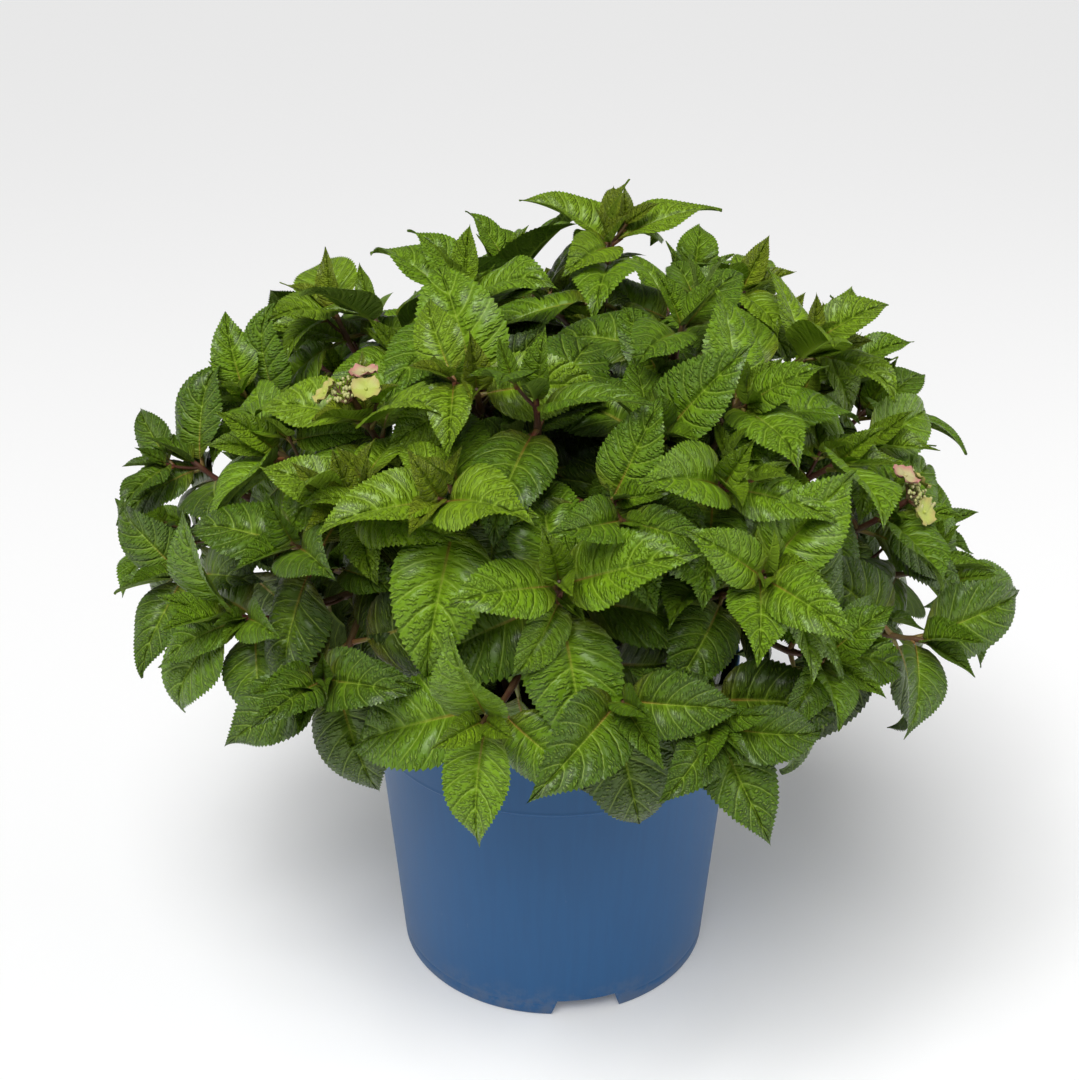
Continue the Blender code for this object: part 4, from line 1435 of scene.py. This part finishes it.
class HYDRANGEA_OT_leaves(bpy.types.Operator):
    """Dresses every shoot with quilted, toothed leaves, dealt into tints by spray and age"""

    bl_idname = "hydrangea.leaves"
    bl_label = "Leaves"

    def execute(self, context):
        look = context.scene.hydrangea_leaves
        patterns = {shortest: LeafPattern(*blade) for shortest, blade in BLADES.items()}
        rng = random.Random(SEED + 1)
        batches = {tint: ([], set()) for tint in TINTS}
        for mass in grown_plant():
            # The tier's steps carry painted shade: darker low sprays, lighter front ones
            moods = FRONT_MOODS.get(mass.name) or [rng.choice(MOODS[mass.ring]) for _ in mass.shoots]
            for leaf in mass.leaves:
                size = leaf.length * (0.5 if leaf.pair == OLDEST else 1)
                pattern = next(patterns[shortest] for shortest in patterns if size >= shortest)
                blades, owners = batches[tint_of(leaf, moods[leaf.shoot])]
                blades.append((leaf_points(leaf, pattern, look, rng), pattern))
                owners.add(f"foliage_{mass.name}")
        for tint, (blades, owners) in batches.items():
            if not blades:
                raise RuntimeError(f"no leaf took the tint {tint}")
            starts = np.cumsum([0] + [len(points) for points, _ in blades])
            points = np.concatenate([points for points, _ in blades])
            faces = np.concatenate([pattern.triangles + start for (_, pattern), start in zip(blades, starts)])
            layout = np.concatenate([pattern.layout for _, pattern in blades])
            mesh = array_mesh(f"leaves_{tint}", points, faces, layout)
            under = look.glow_colour if tint in YOUNG_TINTS else look.under_colour
            finish = leaf_finish(f"leaf_{tint}", tuple(getattr(look, tint)), under, look)
            link_piece(f"leaves_{tint}", smoothed(mesh, 80), finish, sorted(owners))
        return {"FINISHED"}


class HYDRANGEA_OT_flowers(bpy.types.Operator):
    """Builds the two flower heads: fine stalks, clustered buds and ruffled florets at the edge"""

    bl_idname = "hydrangea.flowers"
    bl_label = "Flower Heads"

    def execute(self, context):
        look = context.scene.hydrangea_flowers
        rng = random.Random(SEED + 2)
        rods, buds = [], bmesh.new()
        florets = {kind: bmesh.new() for kind in ("lime", "cream")}
        for made in florets.values():
            made.loops.layers.uv.new(LAYOUT)
        flowering = [mass for mass in grown_plant() if mass.name in FLOWERING]
        for shoot in (mass.shoots[FLOWERING[mass.name]] for mass in flowering):
            rods += add_buds(buds, shoot, rng)
            for turn, kind in zip(SEPAL_TURNS, FLORET_KINDS):
                place = head_stand(shoot) @ floret_place(turn)
                bend = place @ Vector((-0.002, 0, -0.003))
                rods.append([(shoot.path[-1], 0.0006), (bend, 0.0005), (place.translation, 0.0004)])
                add_floret(florets[kind], place, rng)
        nodes = [f"foliage_{mass.name}" for mass in flowering]
        stalks = stem_finish("head_stalks", look.stalk, blended(look.stalk, look.bud, 0.3), 200.0, 0.45)
        link_piece("head_stalks", smoothed(rods_mesh("head_stalks", rods, 6), 60), stalks, nodes)
        finish = stem_finish("bud_skin", look.bud, blended(look.bud, look.lime, 0.5), 300.0, 0.4)
        link_piece("flower_buds", smoothed(mesh_of("flower_buds", buds), 60), finish, nodes)
        finishes = {
            "lime": petal_finish("lime_sepal", look.lime, blended(look.lime, look.rose, 0.35)),
            "cream": petal_finish("cream_sepal", look.cream, look.rose),
        }
        for name, made in florets.items():
            mesh = smoothed(mesh_of(f"florets_{name}", made), 75)
            link_piece(f"florets_{name}", mesh, finishes[name], nodes)
        return {"FINISHED"}


def add_buds(buds, shoot, rng):
    """Adds the clusters of buds of the head on a shoot, and returns the rods of their stalks."""
    stand, rods = head_stand(shoot), []
    for i in range(HEAD_FORKS):
        turn = math.tau * (i + rng.uniform(-0.2, 0.2)) / HEAD_FORKS
        out = HEAD_RADIUS * (0.2 if i == 0 else rng.uniform(0.5, 0.62))
        spoke = Vector((out * math.cos(turn), out * math.sin(turn), 0))
        fork = stand @ (spoke + UP * HEAD_DEPTH * 0.05)
        rods.append([(shoot.path[-1] - shoot.axis * 0.001, 0.0006), (fork, 0.00045)])
        for _ in range(FORK_BUDS):
            spread = Vector((rng.uniform(-1, 1), rng.uniform(-1, 1), 0)) * HEAD_RADIUS * 0.34
            centre = spoke * 1.1 + spread
            centre.z = HEAD_DEPTH * rng.uniform(0.30, 0.52)
            end = stand @ centre
            bend = fork.lerp(end, 0.6) + shoot.axis * 0.0004
            rods.append([(fork, 0.0003), (bend, 0.00025), (end, 0.0003)])
            radius = rng.uniform(0.0007, 0.0011)
            bud = bmesh.ops.create_icosphere(buds, subdivisions=2, radius=radius)["verts"]
            bmesh.ops.scale(buds, verts=bud, vec=(1, 1, 1.25))
            bmesh.ops.transform(buds, matrix=Matrix.Translation(end), verts=bud)
    return rods


def add_floret(made, place, rng):
    """Adds four ruffled sepals and a bead at their middle."""
    layer = made.loops.layers.uv[LAYOUT]
    cells = 6
    for petal in range(4):
        turn = Matrix.Rotation(math.tau * (petal + rng.uniform(-0.06, 0.06)) / 4, 4, "Z")
        phase = rng.uniform(0, math.tau)
        for up in (1, -1):
            grid = bmesh.ops.create_grid(made, x_segments=cells, y_segments=cells, size=0.5)["verts"]
            faces = {face for vertex in grid for face in vertex.link_faces}
            where = {}
            for vertex in grid:
                across, out = vertex.co.x * 2, vertex.co.y + 0.5
                where[vertex] = (across * 0.5 + 0.5, out)
                width = SEPAL_RADIUS * 0.68 * math.sin(math.pi * (0.08 + 0.74 * out)) ** 0.7
                ruffle = math.sin(across * 5 + phase) * 0.0009 * out
                rise = 0.0020 * out**2 + (0.0007 * across - 0.0008 * across**2) * out + ruffle + 0.00018 * up
                reach = SEPAL_RADIUS * (0.97 - 0.16 * across**2 + 0.03 * math.sin(across * 9 + phase))
                vertex.co = Vector((across * width, out * reach, rise))
            for face in faces:
                for corner in face.loops:
                    corner[layer].uv = where[corner.vert]
            if up < 0:
                bmesh.ops.reverse_faces(made, faces=list(faces))
            bmesh.ops.transform(made, matrix=place @ turn, verts=grid)
    bead = bmesh.ops.create_icosphere(made, subdivisions=2, radius=0.0011)["verts"]
    bmesh.ops.transform(made, matrix=place @ Matrix.Translation((0, 0, 0.0006)), verts=bead)
    bmesh.ops.remove_doubles(made, verts=made.verts, dist=1e-7)


class HYDRANGEA_OT_stage(bpy.types.Operator):
    """Lays the pale floor, hangs the softboxes and sets up the camera"""

    bl_idname = "hydrangea.stage"
    bl_label = "Stage"

    def execute(self, context):
        look = context.scene.hydrangea_stage
        scene = context.scene
        made = bmesh.new()
        bmesh.ops.create_grid(made, x_segments=1, y_segments=1, size=look.floor_size)
        floor = bpy.data.objects.new("floor", mesh_of("floor", made))
        finish = Finish("floor", base_color=tuple(look.floor_colour), roughness=0.9)
        finish.feed(finish.shader.inputs["Emission Color"], tuple(look.floor_colour))
        finish.feed(finish.shader.inputs["Emission Strength"], look.glow)
        floor.data.materials.append(finish.material)
        scene.collection.objects.link(floor)

        world = bpy.data.worlds.new("studio")
        world.use_nodes = True
        background = world.node_tree.nodes["Background"]
        background.inputs["Color"].default_value = (1, 1, 1, 1)
        background.inputs["Strength"].default_value = look.fill
        scene.world = world
        aim = Vector((0, 0, 0.28))
        for name, kind, place, power, size in (
            ("key", "SUN", (-0.20, -0.74, 1.6), look.key, math.radians(42)),
            ("softbox", "AREA", (-0.45, -0.7, 1.6), look.softbox, 0.35),
            ("left", "AREA", (-1.9, 0.1, 0.75), look.left, 1.5),
            ("right", "AREA", (1.9, -0.1, 0.75), look.right, 1.5),
        ):
            light = bpy.data.lights.new(name, kind)
            light.energy = power
            if kind == "SUN":
                light.angle = size
            else:
                light.size = size
            lamp = bpy.data.objects.new(name, light)
            lamp.location = place
            lamp.rotation_euler = (aim - Vector(place)).to_track_quat("-Z", "Y").to_euler()
            scene.collection.objects.link(lamp)

        lens = bpy.data.cameras.new("camera")
        lens.lens, lens.sensor_width = look.lens, SENSOR_WIDTH
        camera = bpy.data.objects.new("camera", lens)
        camera.location = look.camera_place
        camera.rotation_euler = (look.tilt, 0, 0)
        scene.collection.objects.link(camera)
        scene.camera = camera
        scene.view_settings.view_transform = "Standard"
        return {"FINISHED"}


class HYDRANGEA_PT_panel(bpy.types.Panel):
    """Lists the pieces in the order that they are built."""

    bl_idname = "HYDRANGEA_PT_panel"
    bl_label = "Potted Hydrangea"
    bl_space_type = "VIEW_3D"
    bl_region_type = "UI"
    bl_category = "Hydrangea"

    def draw(self, context):
        for operator in OPERATORS:
            self.layout.operator(operator.bl_idname)


SETTINGS = {
    "hydrangea_leaves": LeafSettings,
    "hydrangea_stems": StemSettings,
    "hydrangea_pot": PotSettings,
    "hydrangea_soil": SoilSettings,
    "hydrangea_flowers": FlowerSettings,
    "hydrangea_stage": StageSettings,
}
OPERATORS = (
    HYDRANGEA_OT_pot,
    HYDRANGEA_OT_root_ball,
    HYDRANGEA_OT_canes,
    HYDRANGEA_OT_shoots,
    HYDRANGEA_OT_leaves,
    HYDRANGEA_OT_flowers,
    HYDRANGEA_OT_stage,
)


def register():
    for kind in (*SETTINGS.values(), *OPERATORS, HYDRANGEA_PT_panel):
        bpy.utils.register_class(kind)
    for name, kind in SETTINGS.items():
        setattr(bpy.types.Scene, name, PointerProperty(type=kind))


def unregister():
    for name in SETTINGS:
        delattr(bpy.types.Scene, name)
    for kind in (HYDRANGEA_PT_panel, *reversed(OPERATORS), *SETTINGS.values()):
        bpy.utils.unregister_class(kind)


def main():
    register()
    bpy.ops.hydrangea.pot()
    bpy.ops.hydrangea.root_ball()
    bpy.ops.hydrangea.canes()
    bpy.ops.hydrangea.shoots()
    bpy.ops.hydrangea.leaves()
    bpy.ops.hydrangea.flowers()
    bpy.ops.hydrangea.stage()


if __name__ == "__main__":
    main()
